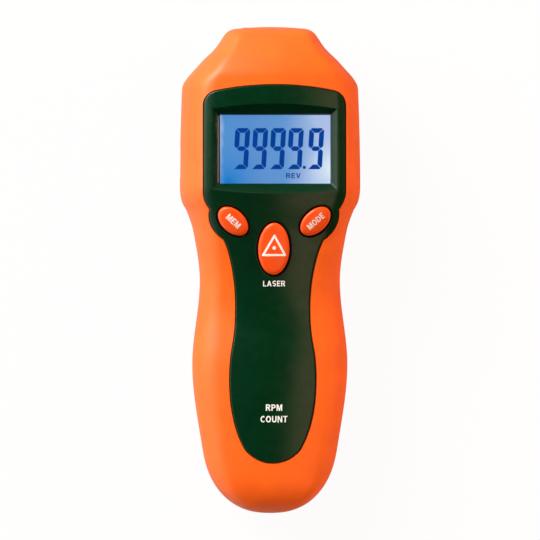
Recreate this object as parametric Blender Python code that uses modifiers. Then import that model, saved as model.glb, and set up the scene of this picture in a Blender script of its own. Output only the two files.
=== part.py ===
"""Laser tachometer for measuring shaft speed, a hand-held instrument in a two-part moulded case.

It lies on its back. Y runs along its length with the nose towards +Y, X runs across it, and the
display faces +Z. The back rests on the plane z = 0, and the middle of the case is at x = y = 0.
The case is a loft of rings along Y. Every shell, panel and cover is cut from that one loft, drawn
in or out by its own wall, so the pieces nest.
"""
import math

import bmesh
import bpy
from mathutils import Matrix, Vector

MM = 0.001

# Case lengths, from the nose to the heel of the grip
NOSE_LENGTH = 20.5 * MM
NOSE_KNEE_LENGTH = 8.6 * MM
NOSE_NECK_LENGTH = 13.5 * MM
HEAD_LENGTH = 36.5 * MM
NECK_LENGTH = 26.5 * MM
GRIP_LENGTH = 27.5 * MM
HEEL_LENGTH = 49.0 * MM

# Case widths, across X
HEAD_WIDTH = 59.2 * MM
SHOULDER_WIDTH = 57.8 * MM
NOSE_KNEE_WIDTH = 45.6 * MM
NOSE_NECK_WIDTH = 35.8 * MM
NOSE_WIDTH = 29.8 * MM
CREASE_FOOT_WIDTH = 54.3 * MM
NECK_WIDTH = 50.2 * MM
WAIST_WIDTH = 46.0 * MM
GRIP_WIDTH = 51.0 * MM
HEEL_WIDTH = 42.8 * MM
HEEL_END_WIDTH = 38.6 * MM

# Case heights above the table
HEAD_HEIGHT = 41.8 * MM
NOSE_TOP = 33.5 * MM
NOSE_UNDERSIDE = 7.0 * MM
WAIST_HEIGHT = 32.2 * MM
GRIP_HEIGHT = 33.2 * MM
HEEL_HEIGHT = 30.0 * MM
PARTING_LEVEL = 19.5 * MM

# Case edges
CREASE_EASE = 4.0 * MM
NECK_FLARE = 10.5 * MM
SLOPE_FOOT_RISE = 3.9 * MM
HEEL_TAPER = 16.1 * MM
HEEL_ROUND_ACROSS = 22.0 * MM
HEEL_ROUND_DEEP = 13.0 * MM
NOSE_CORNER = 5.0 * MM
NOSE_CORNER_LEAN = math.radians(37.0)
NOSE_DOME = 0.6 * MM
HEAD_CROWN_RADIUS = 120.0 * MM
GRIP_CROWN_RADIUS = 75.0 * MM
FRONT_FLAT = 0.68
BACK_FLAT = 0.60
SHOULDER_POWER = 2.3
HEEL_POWER = 2.4

# Walls and clearances
WALL = 2.5 * MM
SEAM = 0.3 * MM
CLEARANCE = 0.3 * MM
BITE = 0.5 * MM

# Front panel
PANEL_THICKNESS = 1.2 * MM
PANEL_PROUD = 0.2 * MM
PANEL_SIDE_MARGIN = 6.2 * MM
PANEL_TOP_MARGIN = 18.5 * MM
PANEL_TOP_ARC = 79.0 * MM
PANEL_TOP_CORNER = 4.0 * MM
PANEL_BOTTOM_CORNER = 9.0 * MM
PANEL_NECK_WIDTH = 33.0 * MM
PANEL_WAIST_WIDTH = 24.0 * MM
PANEL_GRIP_WIDTH = 28.4 * MM
PANEL_HEEL_WIDTH = 19.4 * MM
PANEL_HEEL_MARGIN = 17.0 * MM
PANEL_HEEL_ROUND = 9.0 * MM
PANEL_TURN_WIDTH = 26.8 * MM
PANEL_HEEL_POWER = 2.2
PANEL_FLOOR_RISE = 1.0 * MM
POD_MARGIN = 2.7 * MM

# Display opening and its sloped recess
DISPLAY_SIDE_MARGIN = 10.8 * MM
DISPLAY_HEIGHT = 22.9 * MM
DISPLAY_FROM_CREASE = 16.7 * MM
RECESS_DEPTH = 3.3 * MM
RECESS_LIP = 0.8 * MM
RECESS_WALL = 1.0 * MM
RECESS_RUN = 5.0 * MM
WINDOW_THICKNESS = 1.0 * MM
WINDOW_OVERLAP = 1.2 * MM
LCD_THICKNESS = 2.8 * MM
LCD_OVERLAP = 1.8 * MM
BACKLIGHT_THICKNESS = 3.0 * MM
BACKLIGHT_MARGIN = 1.5 * MM
LCD_FRAME_WALL = 1.1 * MM
CONNECTOR_WIDTH = 2.0 * MM

# Keys
SMALL_KEY_LENGTH = 11.8 * MM
SMALL_KEY_WIDTH = 7.6 * MM
SMALL_KEY_TURN = math.radians(42.0)
SMALL_KEY_X = 13.56 * MM
SMALL_KEY_FROM_CREASE = 7.0 * MM
LASER_KEY_LENGTH = 17.3 * MM
LASER_KEY_WIDTH = 10.5 * MM
LASER_KEY_FROM_CREASE = 16.05 * MM
KEY_GAP = 0.4 * MM
KEY_PROUD = 1.4 * MM
KEY_EDGE = 1.0 * MM
KEY_FLANGE = 1.0 * MM
KEY_FLANGE_THICKNESS = 0.9 * MM
KEY_STEM_RADIUS = 1.5 * MM
KEY_TRAVEL = 0.6 * MM

# Electronics
BOARD_LEVEL = 24.0 * MM
BOARD_THICKNESS = 1.6 * MM
BOARD_SIDE_MARGIN = 6.6 * MM
BOARD_KEY_WIDTH = 36.0 * MM
BOARD_NECK_WIDTH = 23.2 * MM
BOARD_TONGUE_WIDTH = 26.8 * MM
SWITCH_SIZE = 6.0 * MM
SWITCH_HEIGHT = 3.4 * MM
SWITCH_BUTTON_RADIUS = 1.75 * MM
SWITCH_BUTTON_HEIGHT = 0.7 * MM
CHIP_SIZE = 12.0 * MM
CHIP_THICKNESS = 1.6 * MM
CRYSTAL_LENGTH = 11.0 * MM
CRYSTAL_WIDTH = 4.4 * MM
CRYSTAL_HEIGHT = 3.5 * MM
CRYSTAL_EDGE = 1.5 * MM
CAPACITOR_RADIUS = 3.0 * MM
CAPACITOR_HEIGHT = 8.0 * MM
CAPACITOR_FROM_CHIP = 5.5 * MM
TONGUE_REACH = 1.6 * MM
BOARD_ABOVE_CREASE = 1.0 * MM
BOARD_FROM_BATTERY = 1.5 * MM

# Optics in the nose
OPTICS_LEVEL = PARTING_LEVEL
LASER_X = -5.75 * MM
LASER_RADIUS = 3.25 * MM
LASER_FROM_SHOULDER = 3.0 * MM
LASER_CHAMFER = 0.3 * MM
LASER_LENS_RADIUS = 2.0 * MM
LASER_LENS_DEPTH = 1.5 * MM
SENSOR_X = 5.2 * MM
SENSOR_RADIUS = 4.2 * MM
SENSOR_FLANGE = 1.0 * MM
SENSOR_LENS_THICKNESS = 2.6 * MM
SENSOR_LENS_RIM = 0.9 * MM
DETECTOR_RADIUS = 2.5 * MM
DETECTOR_LENGTH = 6.0 * MM
HOLDER_HALF_HEIGHT = 6.8 * MM
HOLDER_FROM_SHOULDER = 2.3 * MM
HOLDER_WALL = 1.5 * MM
HOLDER_EDGE = 1.0 * MM
HOLDER_RIB_WIDTH = 10.0 * MM
HOLDER_RIB_FROM_NOSE = 11.5 * MM
PEDESTAL_WIDTH = 14.0 * MM
PEDESTAL_LENGTH = 7.0 * MM
PEDESTAL_FROM_NOSE = 8.0 * MM

# Battery, its bay and its cover
BATTERY_WIDTH = 26.5 * MM
BATTERY_LENGTH = 46.2 * MM
BATTERY_THICKNESS = 17.5 * MM
BATTERY_LEVEL = 3.6 * MM
BATTERY_FROM_HEEL = 14.0 * MM
BATTERY_EDGE = 1.8 * MM
BATTERY_RIB_WIDTH = 20.0 * MM
RIB_THICKNESS = 1.5 * MM
BATTERY_RIB_PLACES = (13.9 * MM, 34.7 * MM)
TERMINAL_SPACING = 12.7 * MM
TERMINAL_HEIGHT = 2.3 * MM
STUD_RADIUS = 2.85 * MM
SOCKET_RADIUS = 4.3 * MM
SNAP_THICKNESS = 4.0 * MM
SNAP_HEIGHT = 12.6 * MM
SNAP_EDGE = 1.0 * MM
LEAD_RADIUS = 0.6 * MM
LEAD_SPACING = 7.0 * MM
LEAD_REACH = 6.5 * MM
BAY_WALL = 2.4 * MM
BAY_WALL_TOP = 17.0 * MM
COVER_WIDTH = 29.4 * MM
COVER_LENGTH = 52.5 * MM
COVER_CORNER = 3.0 * MM
COVER_THICKNESS = 2.0 * MM
COVER_FROM_BATTERY = 0.8 * MM
THUMB_GROOVES = 4
THUMB_GROOVE_WIDTH = 11.0 * MM
THUMB_GROOVE_RADIUS = 1.0 * MM
THUMB_GROOVE_DROP = 0.2 * MM
THUMB_GROOVE_SPACING = 2.2 * MM
THUMB_GROOVE_FROM_END = 5.0 * MM
HOOK_WIDTH = 6.0 * MM
HOOK_SPACING = 16.0 * MM
HOOK_REACH = 2.0 * MM
HOOK_THICKNESS = 1.0 * MM
HOOK_LIFT = 0.4 * MM

# Screws
SCREW_RADIUS = 1.2 * MM
SCREW_HEAD_RADIUS = 2.5 * MM
SCREW_HEAD_HEIGHT = 1.7 * MM
SCREW_SEAT_LEVEL = 15.0 * MM
CASE_SCREW_LENGTH = 12.3 * MM
BOARD_SCREW_LENGTH = 7.0 * MM
BACK_BOSS_RADIUS = 4.0 * MM
FRONT_BOSS_RADIUS = 3.0 * MM
BOARD_POST_RADIUS = 2.4 * MM
HEAD_SCREW_X = 18.0 * MM
HEAD_SCREW_FROM_SHOULDER = 1.0 * MM
NECK_SCREW_X = 15.2 * MM
NECK_SCREW_FROM_WAIST = 4.4 * MM
HEEL_SCREW_FROM_END = 8.6 * MM
BOARD_SCREW_X = 10.4 * MM
BOARD_SCREW_FROM_SHOULDER = 1.6 * MM
BOARD_SCREW_FROM_CREASE = 1.8 * MM
BOARD_SCREW_FROM_WAIST = 8.6 * MM
COUNTERBORE_RADIUS = SCREW_HEAD_RADIUS + CLEARANCE

# Shallow thumb notch in the left flank of the head
NOTCH_LENGTH = 9.5 * MM
NOTCH_DEPTH = 0.35 * MM
NOTCH_HALF_HEIGHT = 5.0 * MM
NOTCH_EDGE = 1.5 * MM
NOTCH_FROM_CREASE = 12.4 * MM

# Lines along Y that the pieces share
LENGTH = NOSE_LENGTH + HEAD_LENGTH + NECK_LENGTH + GRIP_LENGTH + HEEL_LENGTH
NOSE_Y = LENGTH / 2
HEEL_Y = -LENGTH / 2
CORNER_Y = NOSE_Y - NOSE_DOME - NOSE_CORNER * (1 - math.sin(NOSE_CORNER_LEAN))
SHOULDER_Y = NOSE_Y - NOSE_LENGTH
CREASE_Y = SHOULDER_Y - HEAD_LENGTH
WAIST_Y = CREASE_Y - NECK_LENGTH
BELLY_Y = WAIST_Y - GRIP_LENGTH
DISPLAY_Y = CREASE_Y + DISPLAY_FROM_CREASE
SMALL_KEY_Y = CREASE_Y - SMALL_KEY_FROM_CREASE
LASER_KEY_Y = CREASE_Y - LASER_KEY_FROM_CREASE
PANEL_TOP_Y = NOSE_Y - PANEL_TOP_MARGIN
PANEL_HEEL_Y = HEEL_Y + PANEL_HEEL_MARGIN
PANEL_HEAD_WIDTH = HEAD_WIDTH - 2 * PANEL_SIDE_MARGIN
DISPLAY_WIDTH = HEAD_WIDTH - 2 * DISPLAY_SIDE_MARGIN
BOARD_HEAD_WIDTH = HEAD_WIDTH - 2 * BOARD_SIDE_MARGIN
LASER_LENGTH = NOSE_LENGTH - LASER_FROM_SHOULDER
SKY = HEAD_HEIGHT + 4 * WALL

# Levels of the display stack, from the recess floor down to the board
RECESS_LEVEL = HEAD_HEIGHT - RECESS_DEPTH
WINDOW_TOP = RECESS_LEVEL - RECESS_LIP - CLEARANCE
LCD_TOP = WINDOW_TOP - WINDOW_THICKNESS - CLEARANCE
BACKLIGHT_TOP = LCD_TOP - LCD_THICKNESS - CLEARANCE
BACKLIGHT_LEVEL = BACKLIGHT_TOP - BACKLIGHT_THICKNESS
BOARD_TOP = BOARD_LEVEL + BOARD_THICKNESS
SWITCH_TOP = BOARD_TOP + CLEARANCE + SWITCH_HEIGHT

# Battery bay
BATTERY_HEEL_Y = HEEL_Y + BATTERY_FROM_HEEL
BATTERY_NOSE_Y = BATTERY_HEEL_Y + BATTERY_LENGTH
BATTERY_TOP = BATTERY_LEVEL + BATTERY_THICKNESS
BATTERY_AXIS = BATTERY_LEVEL + BATTERY_THICKNESS / 2
SNAP_Y = BATTERY_NOSE_Y + CLEARANCE
COVER_HEEL_Y = BATTERY_HEEL_Y - COVER_FROM_BATTERY
COVER_NOSE_Y = COVER_HEEL_Y + COVER_LENGTH
BAY_HALF_WIDTH = BATTERY_WIDTH / 2 + CLEARANCE
BAY_HEEL_Y = BATTERY_HEEL_Y - CLEARANCE
BAY_NOSE_Y = COVER_NOSE_Y + HOOK_REACH + 2 * CLEARANCE
COVER_HINGE = Vector((0, COVER_NOSE_Y, CLEARANCE))

# Screw places: x, y
CASE_SCREWS = [
    (-HEAD_SCREW_X, SHOULDER_Y - HEAD_SCREW_FROM_SHOULDER),
    (HEAD_SCREW_X, SHOULDER_Y - HEAD_SCREW_FROM_SHOULDER),
    (-NECK_SCREW_X, WAIST_Y - NECK_SCREW_FROM_WAIST),
    (NECK_SCREW_X, WAIST_Y - NECK_SCREW_FROM_WAIST),
    (0.0, HEEL_Y + HEEL_SCREW_FROM_END),
]
BOARD_SCREWS = [
    (-BOARD_SCREW_X, SHOULDER_Y - BOARD_SCREW_FROM_SHOULDER),
    (BOARD_SCREW_X, SHOULDER_Y - BOARD_SCREW_FROM_SHOULDER),
    (0.0, CREASE_Y - BOARD_SCREW_FROM_CREASE),
    (0.0, WAIST_Y - BOARD_SCREW_FROM_WAIST),
]

# Facets
ROW_SPACING = 6.2 * MM
SHOULDER_STEPS = 4
FRONT_STEPS = 6
BACK_STEPS = 2
HEEL_ROWS = 5
HEEL_REACH = math.radians(86.0)
CORNER_ROWS = 3
PANEL_CORNER_STEPS = 4
PANEL_LOW_CORNER_STEPS = 5
PANEL_ARCH_STEPS = 8
PANEL_ROWS = 13
PANEL_END_STEPS = 6
LEAD_POINTS = 9
ROUND_SIDES = 20
SMALL_ROUND_SIDES = 10
KEY_SIDES = 24


def flowing(points):
    """A smooth curve through (y, value) points that never overshoots between two of them."""
    spans = [b[0] - a[0] for a, b in zip(points, points[1:])]
    slopes = [(b[1] - a[1]) / span for a, b, span in zip(points, points[1:], spans)]
    tangents = [slopes[0]]
    for before, after in zip(slopes, slopes[1:]):
        flat = before * after <= 0
        tangents.append(0.0 if flat else 2 * before * after / (before + after))
    tangents.append(slopes[-1])

    def value(y):
        y = min(max(y, points[0][0]), points[-1][0])
        i = max(k for k in range(len(spans)) if k == 0 or points[k][0] <= y)
        t = (y - points[i][0]) / spans[i]
        start = (1 + 2 * t) * (1 - t) ** 2 * points[i][1]
        end = t * t * (3 - 2 * t) * points[i + 1][1]
        bend = t * (1 - t) ** 2 * tangents[i] - t * t * (1 - t) * tangents[i + 1]
        return start + end + bend * spans[i]

    return value


half_width = flowing([
    (HEEL_Y, HEEL_END_WIDTH / 2),
    (HEEL_Y + HEEL_TAPER, HEEL_WIDTH / 2),
    (BELLY_Y, GRIP_WIDTH / 2),
    (WAIST_Y, WAIST_WIDTH / 2),
    (CREASE_Y - NECK_FLARE, NECK_WIDTH / 2),
    (CREASE_Y - CREASE_EASE, CREASE_FOOT_WIDTH / 2),
    (CREASE_Y, HEAD_WIDTH / 2 - BITE),
    (CREASE_Y + CREASE_EASE, HEAD_WIDTH / 2),
    (SHOULDER_Y, SHOULDER_WIDTH / 2),
    (SHOULDER_Y + NOSE_KNEE_LENGTH, NOSE_KNEE_WIDTH / 2),
    (SHOULDER_Y + NOSE_NECK_LENGTH, NOSE_NECK_WIDTH / 2),
    (CORNER_Y, NOSE_WIDTH / 2),
])

front_height = flowing([
    (HEEL_Y, HEEL_HEIGHT),
    (BELLY_Y, GRIP_HEIGHT),
    (WAIST_Y - NECK_FLARE, WAIST_HEIGHT),
    (CREASE_Y - NECK_FLARE - CREASE_EASE, WAIST_HEIGHT + SLOPE_FOOT_RISE),
    (CREASE_Y, HEAD_HEIGHT - 2 * BITE),
    (CREASE_Y + CREASE_EASE, HEAD_HEIGHT),
    (SHOULDER_Y + CREASE_EASE, HEAD_HEIGHT),
    (SHOULDER_Y + 2 * CREASE_EASE, HEAD_HEIGHT - 2 * BITE),
    (NOSE_Y, NOSE_TOP),
])

back_height = flowing([
    (HEEL_Y, 0.0),
    (SHOULDER_Y - CREASE_EASE, 0.0),
    (SHOULDER_Y + CREASE_EASE, 2 * BITE),
    (NOSE_Y, NOSE_UNDERSIDE),
])

crown_radius = flowing([
    (HEEL_Y, GRIP_CROWN_RADIUS),
    (WAIST_Y, GRIP_CROWN_RADIUS),
    (CREASE_Y, HEAD_CROWN_RADIUS),
    (NOSE_Y, HEAD_CROWN_RADIUS),
])


def rounded(t, power):
    """The fall of a rounded end: 1 where it starts and 0 at its tip."""
    return (1 - min(max(t, 0.0), 1.0) ** power) ** (1 / power)


def case_rows():
    """Places of the loft's rings: y, scale across, scale in depth, and how far the corner draws in."""
    heel_start = HEEL_Y + HEEL_ROUND_ACROSS
    rows = []
    for k in range(HEEL_ROWS, 0, -1):
        reach = math.sin(HEEL_REACH * k / HEEL_ROWS)
        y = heel_start - HEEL_ROUND_ACROSS * reach
        across = rounded(reach, HEEL_POWER)
        deep = rounded((HEEL_Y + HEEL_ROUND_DEEP - y) / HEEL_ROUND_DEEP, HEEL_POWER)
        rows.append((y, across, deep, 0.0))
    count = round((CORNER_Y - heel_start) / ROW_SPACING)
    for k in range(count + 1):
        rows.append((heel_start + (CORNER_Y - heel_start) * k / count, 1.0, 1.0, 0.0))
    for k in range(1, CORNER_ROWS + 1):
        angle = NOSE_CORNER_LEAN + (math.pi / 2 - NOSE_CORNER_LEAN) * k / CORNER_ROWS
        y = CORNER_Y + NOSE_CORNER * (math.sin(angle) - math.sin(NOSE_CORNER_LEAN))
        drawn_in = NOSE_CORNER * (math.cos(NOSE_CORNER_LEAN) - math.cos(angle))
        rows.append((y, 1.0, 1.0, drawn_in))
    rows.append((NOSE_Y - NOSE_DOME / 4, 0.5, 0.5, drawn_in))
    return rows


def half_ring(half, height, flat, crown, steps):
    """One side of a section from +X to -X: a shoulder, a crowned flat and a shoulder."""
    points = []
    for k in range(SHOULDER_STEPS):
        angle = math.pi / 2 * k / SHOULDER_STEPS
        x = flat + (half - flat) * math.cos(angle) ** (2 / SHOULDER_POWER)
        points.append((x, math.sin(angle) ** (2 / SHOULDER_POWER)))
    points += [(flat * (1 - 2 * k / steps), 1.0) for k in range(steps + 1)]
    points += [(-x, rise) for x, rise in reversed(points[:SHOULDER_STEPS])]
    return [(x, (height - crown(x)) * rise) for x, rise in points]


def ring(row, wall):
    """The section of the case at one row, drawn in by a wall."""
    y, across, deep, drawn_in = row
    outer = (half_width(y) - drawn_in) * across
    half = (half_width(y) - drawn_in - wall) * across
    front = (front_height(y) - PARTING_LEVEL - drawn_in - wall) * deep
    back = (PARTING_LEVEL - back_height(y) - drawn_in - wall) * deep

    def crown(x):
        return x * x / (2 * crown_radius(y)) * deep

    upper = half_ring(half, front, FRONT_FLAT * outer, crown, FRONT_STEPS)
    lower = half_ring(half, back, BACK_FLAT * outer, lambda x: 0.0, BACK_STEPS)
    flat_y = y * (LENGTH / 2 - wall) / (LENGTH / 2)
    points = [(x, flat_y, PARTING_LEVEL + rise) for x, rise in upper]
    points += [(-x, flat_y, PARTING_LEVEL - rise) for x, rise in lower[1:-1]]
    return points


def front_skin(x, y):
    """Height of the outer front surface above the table."""
    half = half_width(y)
    flat = FRONT_FLAT * half
    rise = 1.0
    if abs(x) > flat:
        rise = rounded((abs(x) - flat) / (half - flat), SHOULDER_POWER)
    crown = x * x / (2 * crown_radius(y))
    return PARTING_LEVEL + (front_height(y) - PARTING_LEVEL - crown) * rise


def collection(name):
    made = bpy.data.collections.new(name)
    bpy.context.scene.collection.children.link(made)
    return made


def surface(name, colour, roughness, metallic=0.0, clear=0.0):
    """A Principled BSDF material."""
    material = bpy.data.materials.new(name)
    material.use_nodes = True
    shader = material.node_tree.nodes["Principled BSDF"]
    shader.inputs["Base Color"].default_value = (*colour, 1.0)
    shader.inputs["Roughness"].default_value = roughness
    shader.inputs["Metallic"].default_value = metallic
    shader.inputs["Transmission Weight"].default_value = clear
    material.diffuse_color = (*colour, 1.0)
    return material


def place(name, mesh, material=None):
    """Put a mesh into the model as a piece, or as a cutter where it has no material."""
    item = bpy.data.objects.new(name, mesh)
    if material:
        mesh.materials.append(material)
        PIECES.objects.link(item)
    else:
        CUTTERS.objects.link(item)
        item.hide_render = True
        item.display_type = "WIRE"
    mesh.shade_smooth()
    mesh.set_sharp_from_angle(angle=math.radians(32))
    return item


def mesh_of(shape, name):
    bmesh.ops.recalc_face_normals(shape, faces=shape.faces)
    mesh = bpy.data.meshes.new(name)
    shape.to_mesh(mesh)
    shape.free()
    return mesh


def loft(name, wall, material=None):
    """The whole case as one closed solid, drawn in by a wall."""
    shape = bmesh.new()
    rings = [[shape.verts.new(point) for point in ring(row, wall)] for row in case_rows()]
    for near, far in zip(rings, rings[1:]):
        for k in range(len(near)):
            after = (k + 1) % len(near)
            shape.faces.new((near[k], near[after], far[after], far[k]))
    for end, y in ((rings[0], HEEL_Y + wall), (rings[-1], NOSE_Y - wall)):
        tip = shape.verts.new((0, y, PARTING_LEVEL))
        for k in range(len(end)):
            shape.faces.new((end[k], end[(k + 1) % len(end)], tip))
    bmesh.ops.triangulate(shape, faces=shape.faces)
    return place(name, mesh_of(shape, name), material)


def box(name, low, high, material=None, edge=0.0):
    """A block between two corners, with its edges rounded if asked."""
    low, high = Vector(low), Vector(high)
    shape = bmesh.new()
    scale = Matrix.Diagonal((*(high - low), 1.0))
    bmesh.ops.create_cube(shape, size=1.0, matrix=Matrix.Translation((low + high) / 2) @ scale)
    item = place(name, mesh_of(shape, name), material)
    if edge:
        soften = item.modifiers.new("rounded edges", "BEVEL")
        soften.width = edge
        soften.segments = 2
    return item


def rod(name, start, end, radius, material=None, sides=ROUND_SIDES):
    """A straight round bar from one point to another."""
    start, end = Vector(start), Vector(end)
    turn = (end - start).to_track_quat("Z", "Y").to_matrix().to_4x4()
    shape = bmesh.new()
    bmesh.ops.create_cone(
        shape, cap_ends=True, segments=sides, radius1=radius, radius2=radius,
        depth=(end - start).length, matrix=Matrix.Translation((start + end) / 2) @ turn)
    return place(name, mesh_of(shape, name), material)


def turned(name, profile, at, material, along="Z", sides=ROUND_SIDES):
    """A turned piece from (radius, height) points that run down its outer side."""
    shape = bmesh.new()
    points = [shape.verts.new((radius, 0, height)) for radius, height in profile]
    for a, b in zip(points, points[1:]):
        shape.edges.new((a, b))
    mesh = bpy.data.meshes.new(name)
    shape.to_mesh(mesh)
    shape.free()
    item = place(name, mesh, material)
    item.location = at
    if along == "Y":
        item.rotation_euler = (-math.pi / 2, 0, 0)
    spin = item.modifiers.new("turned", "SCREW")
    spin.steps = sides
    spin.render_steps = sides
    spin.use_merge_vertices = True
    spin.merge_threshold = 0.01 * MM
    spin.use_smooth_shade = True
    return item


def prism(name, outline, low, high, material=None):
    """A flat outline given a height, from a filled 2D curve."""
    curve = bpy.data.curves.new(name, "CURVE")
    curve.dimensions = "2D"
    curve.fill_mode = "BOTH"
    curve.extrude = (high - low) / 2
    line = curve.splines.new("POLY")
    line.points.add(len(outline) - 1)
    for point, (x, y) in zip(line.points, outline):
        point.co = (x, y, 0, 1)
    line.use_cyclic_u = True
    drawn = bpy.data.objects.new(name + " outline", curve)
    CUTTERS.objects.link(drawn)
    drawn.location.z = (low + high) / 2
    bpy.context.view_layer.update()
    evaluated = drawn.evaluated_get(bpy.context.evaluated_depsgraph_get())
    raw = bpy.data.meshes.new_from_object(evaluated)
    shape = bmesh.new()
    shape.from_mesh(raw)
    bmesh.ops.remove_doubles(shape, verts=shape.verts, dist=0.001 * MM)
    bmesh.ops.dissolve_limit(shape, angle_limit=math.radians(0.1), verts=shape.verts,
                             edges=shape.edges)
    shape.transform(drawn.matrix_world)
    bpy.data.objects.remove(drawn)
    bpy.data.curves.remove(curve)
    bpy.data.meshes.remove(raw)
    return place(name, mesh_of(shape, name), material)


def shaped(item, operation, *others):
    """Join, cut or keep what is shared with other solids, in their order."""
    for other in others:
        step = item.modifiers.new(other.name, "BOOLEAN")
        step.operation = operation
        step.solver = "EXACT"
        step.object = other
    return item


def pivot_at(item, point):
    """Move a piece's origin to a point and leave its shape where it is."""
    item.data.transform(Matrix.Translation(-Vector(point)))
    item.location = point
    return item


def ellipse(centre, half_long, half_short, turn, sides=KEY_SIDES):
    """Points round an ellipse whose long axis is turned from X."""
    points = []
    for k in range(sides):
        angle = 2 * math.pi * k / sides
        along = half_long * math.cos(angle)
        beside = half_short * math.sin(angle)
        points.append((
            centre[0] + along * math.cos(turn) - beside * math.sin(turn),
            centre[1] + along * math.sin(turn) + beside * math.cos(turn),
        ))
    return points


def arc(centre, radius, start, end, steps):
    """Points on an arc, with its angles in degrees."""
    angles = [math.radians(start + (end - start) * k / steps) for k in range(steps + 1)]
    return [(centre[0] + radius * math.cos(a), centre[1] + radius * math.sin(a)) for a in angles]


def rounded_rectangle(half_x, low_y, high_y, corner, steps=4):
    """The outline of a rectangle that is centred on x = 0 and has round corners."""
    x = half_x - corner
    points = arc((x, high_y - corner), corner, 0, 90, steps)
    points += arc((-x, high_y - corner), corner, 90, 180, steps)
    points += arc((-x, low_y + corner), corner, 180, 270, steps)
    points += arc((x, low_y + corner), corner, 270, 360, steps)
    return points


# Each key: centre, half length, half width, turn of its long axis
KEYS = {
    "mem": ((-SMALL_KEY_X, SMALL_KEY_Y), SMALL_KEY_LENGTH / 2, SMALL_KEY_WIDTH / 2, -SMALL_KEY_TURN),
    "mode": ((SMALL_KEY_X, SMALL_KEY_Y), SMALL_KEY_LENGTH / 2, SMALL_KEY_WIDTH / 2, SMALL_KEY_TURN),
    "laser": ((0.0, LASER_KEY_Y), LASER_KEY_LENGTH / 2, LASER_KEY_WIDTH / 2, math.pi / 2),
}


def head_outline(extra):
    """The panel over the head: straight sides, an arched top and wide lower corners."""
    half = PANEL_HEAD_WIDTH / 2 + extra
    top = PANEL_TOP_Y + extra
    corner = PANEL_TOP_CORNER + extra
    low_corner = PANEL_BOTTOM_CORNER + extra
    arch_radius = PANEL_TOP_ARC + extra
    reach = half - corner
    arch_y = top - arch_radius
    corner_y = arch_y + math.sqrt((arch_radius - corner) ** 2 - reach ** 2)
    tilt = math.degrees(math.atan2(corner_y - arch_y, reach))
    floor = SMALL_KEY_Y + PANEL_FLOOR_RISE - extra
    low_y = floor + low_corner
    points = arc((reach, corner_y), corner, 0, tilt, PANEL_CORNER_STEPS)
    points += arc((0, arch_y), arch_radius, tilt, 180 - tilt, PANEL_ARCH_STEPS)[1:-1]
    points += arc((-reach, corner_y), corner, 180 - tilt, 180, PANEL_CORNER_STEPS)
    points += arc((low_corner - half, low_y), low_corner, 180, 270, PANEL_LOW_CORNER_STEPS)
    points += arc((half - low_corner, low_y), low_corner, 270, 360, PANEL_LOW_CORNER_STEPS)
    return points


def grip_outline(extra):
    """The panel down the grip: waisted, then bellied, with a round lower end."""
    half = flowing([
        (PANEL_HEEL_Y, PANEL_HEEL_WIDTH / 2),
        (PANEL_HEEL_Y + PANEL_HEEL_ROUND, PANEL_TURN_WIDTH / 2),
        (BELLY_Y - CREASE_EASE, PANEL_GRIP_WIDTH / 2),
        (WAIST_Y - NECK_FLARE, PANEL_WAIST_WIDTH / 2),
        (SMALL_KEY_Y - CREASE_EASE, PANEL_NECK_WIDTH / 2),
    ])
    top = SMALL_KEY_Y + CREASE_EASE
    turn_y = PANEL_HEEL_Y + PANEL_HEEL_ROUND
    right = []
    for k in range(PANEL_ROWS + 1):
        y = top + (turn_y - top) * k / PANEL_ROWS
        right.append((half(y) + extra, y))
    for k in range(1, PANEL_END_STEPS):
        reach = math.sin(math.pi / 2 * k / PANEL_END_STEPS)
        width = half(turn_y - PANEL_HEEL_ROUND * reach) * rounded(reach, PANEL_HEEL_POWER)
        right.append((width + extra, turn_y - (PANEL_HEEL_ROUND + extra) * reach))
    tip = [(0.0, PANEL_HEEL_Y - extra)]
    return right + tip + [(-x, y) for x, y in reversed(right)]


def panel_prism(name, extra, low, high):
    """The panel's whole outline as an upright solid: head, grip and a pod round each small key."""
    parts = [
        prism(name + " head", head_outline(extra), low, high),
        prism(name + " grip", grip_outline(extra), low - CLEARANCE, high + CLEARANCE),
    ]
    for side in ("mem", "mode"):
        centre, half_long, half_short, turn = KEYS[side]
        grown = POD_MARGIN + extra
        outline = ellipse(centre, half_long + grown, half_short + grown, turn)
        step = 2 * CLEARANCE if side == "mem" else 3 * CLEARANCE
        parts.append(prism(f"{name} {side} pod", outline, low - step, high + step))
    return shaped(parts[0], "UNION", *parts[1:])


def key_apertures(name, low, high):
    """Upright cutters a running gap larger than the keys."""
    cutters = []
    for key, (centre, half_long, half_short, turn) in KEYS.items():
        outline = ellipse(centre, half_long + KEY_GAP, half_short + KEY_GAP, turn)
        cutters.append(prism(f"{name} {key} aperture", outline, low, high))
    return cutters


def rectangle_cutter(name, width, height, low, high):
    """A block over the display, square to it."""
    return box(name, (-width / 2, DISPLAY_Y - height / 2, low),
               (width / 2, DISPLAY_Y + height / 2, high))


def recess_cutter():
    """The display recess: four planes that slope outwards at 45 degrees from the opening."""
    item = rectangle_cutter("display recess", DISPLAY_WIDTH, DISPLAY_HEIGHT,
                            RECESS_LEVEL, RECESS_LEVEL + RECESS_RUN)
    for vertex in item.data.vertices:
        if vertex.co.z > RECESS_LEVEL + RECESS_RUN / 2:
            vertex.co.x += math.copysign(RECESS_RUN, vertex.co.x)
            vertex.co.y += math.copysign(RECESS_RUN, vertex.co.y - DISPLAY_Y)
    return item


def seam_blocks():
    """Blocks above and below the parting line, half the seam away from it."""
    reach = LENGTH
    upper = box("above the seam", (-reach, -reach, PARTING_LEVEL + SEAM / 2), (reach, reach, reach))
    lower = box("below the seam", (-reach, -reach, -reach), (reach, reach, PARTING_LEVEL - SEAM / 2))
    return upper, lower


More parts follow.
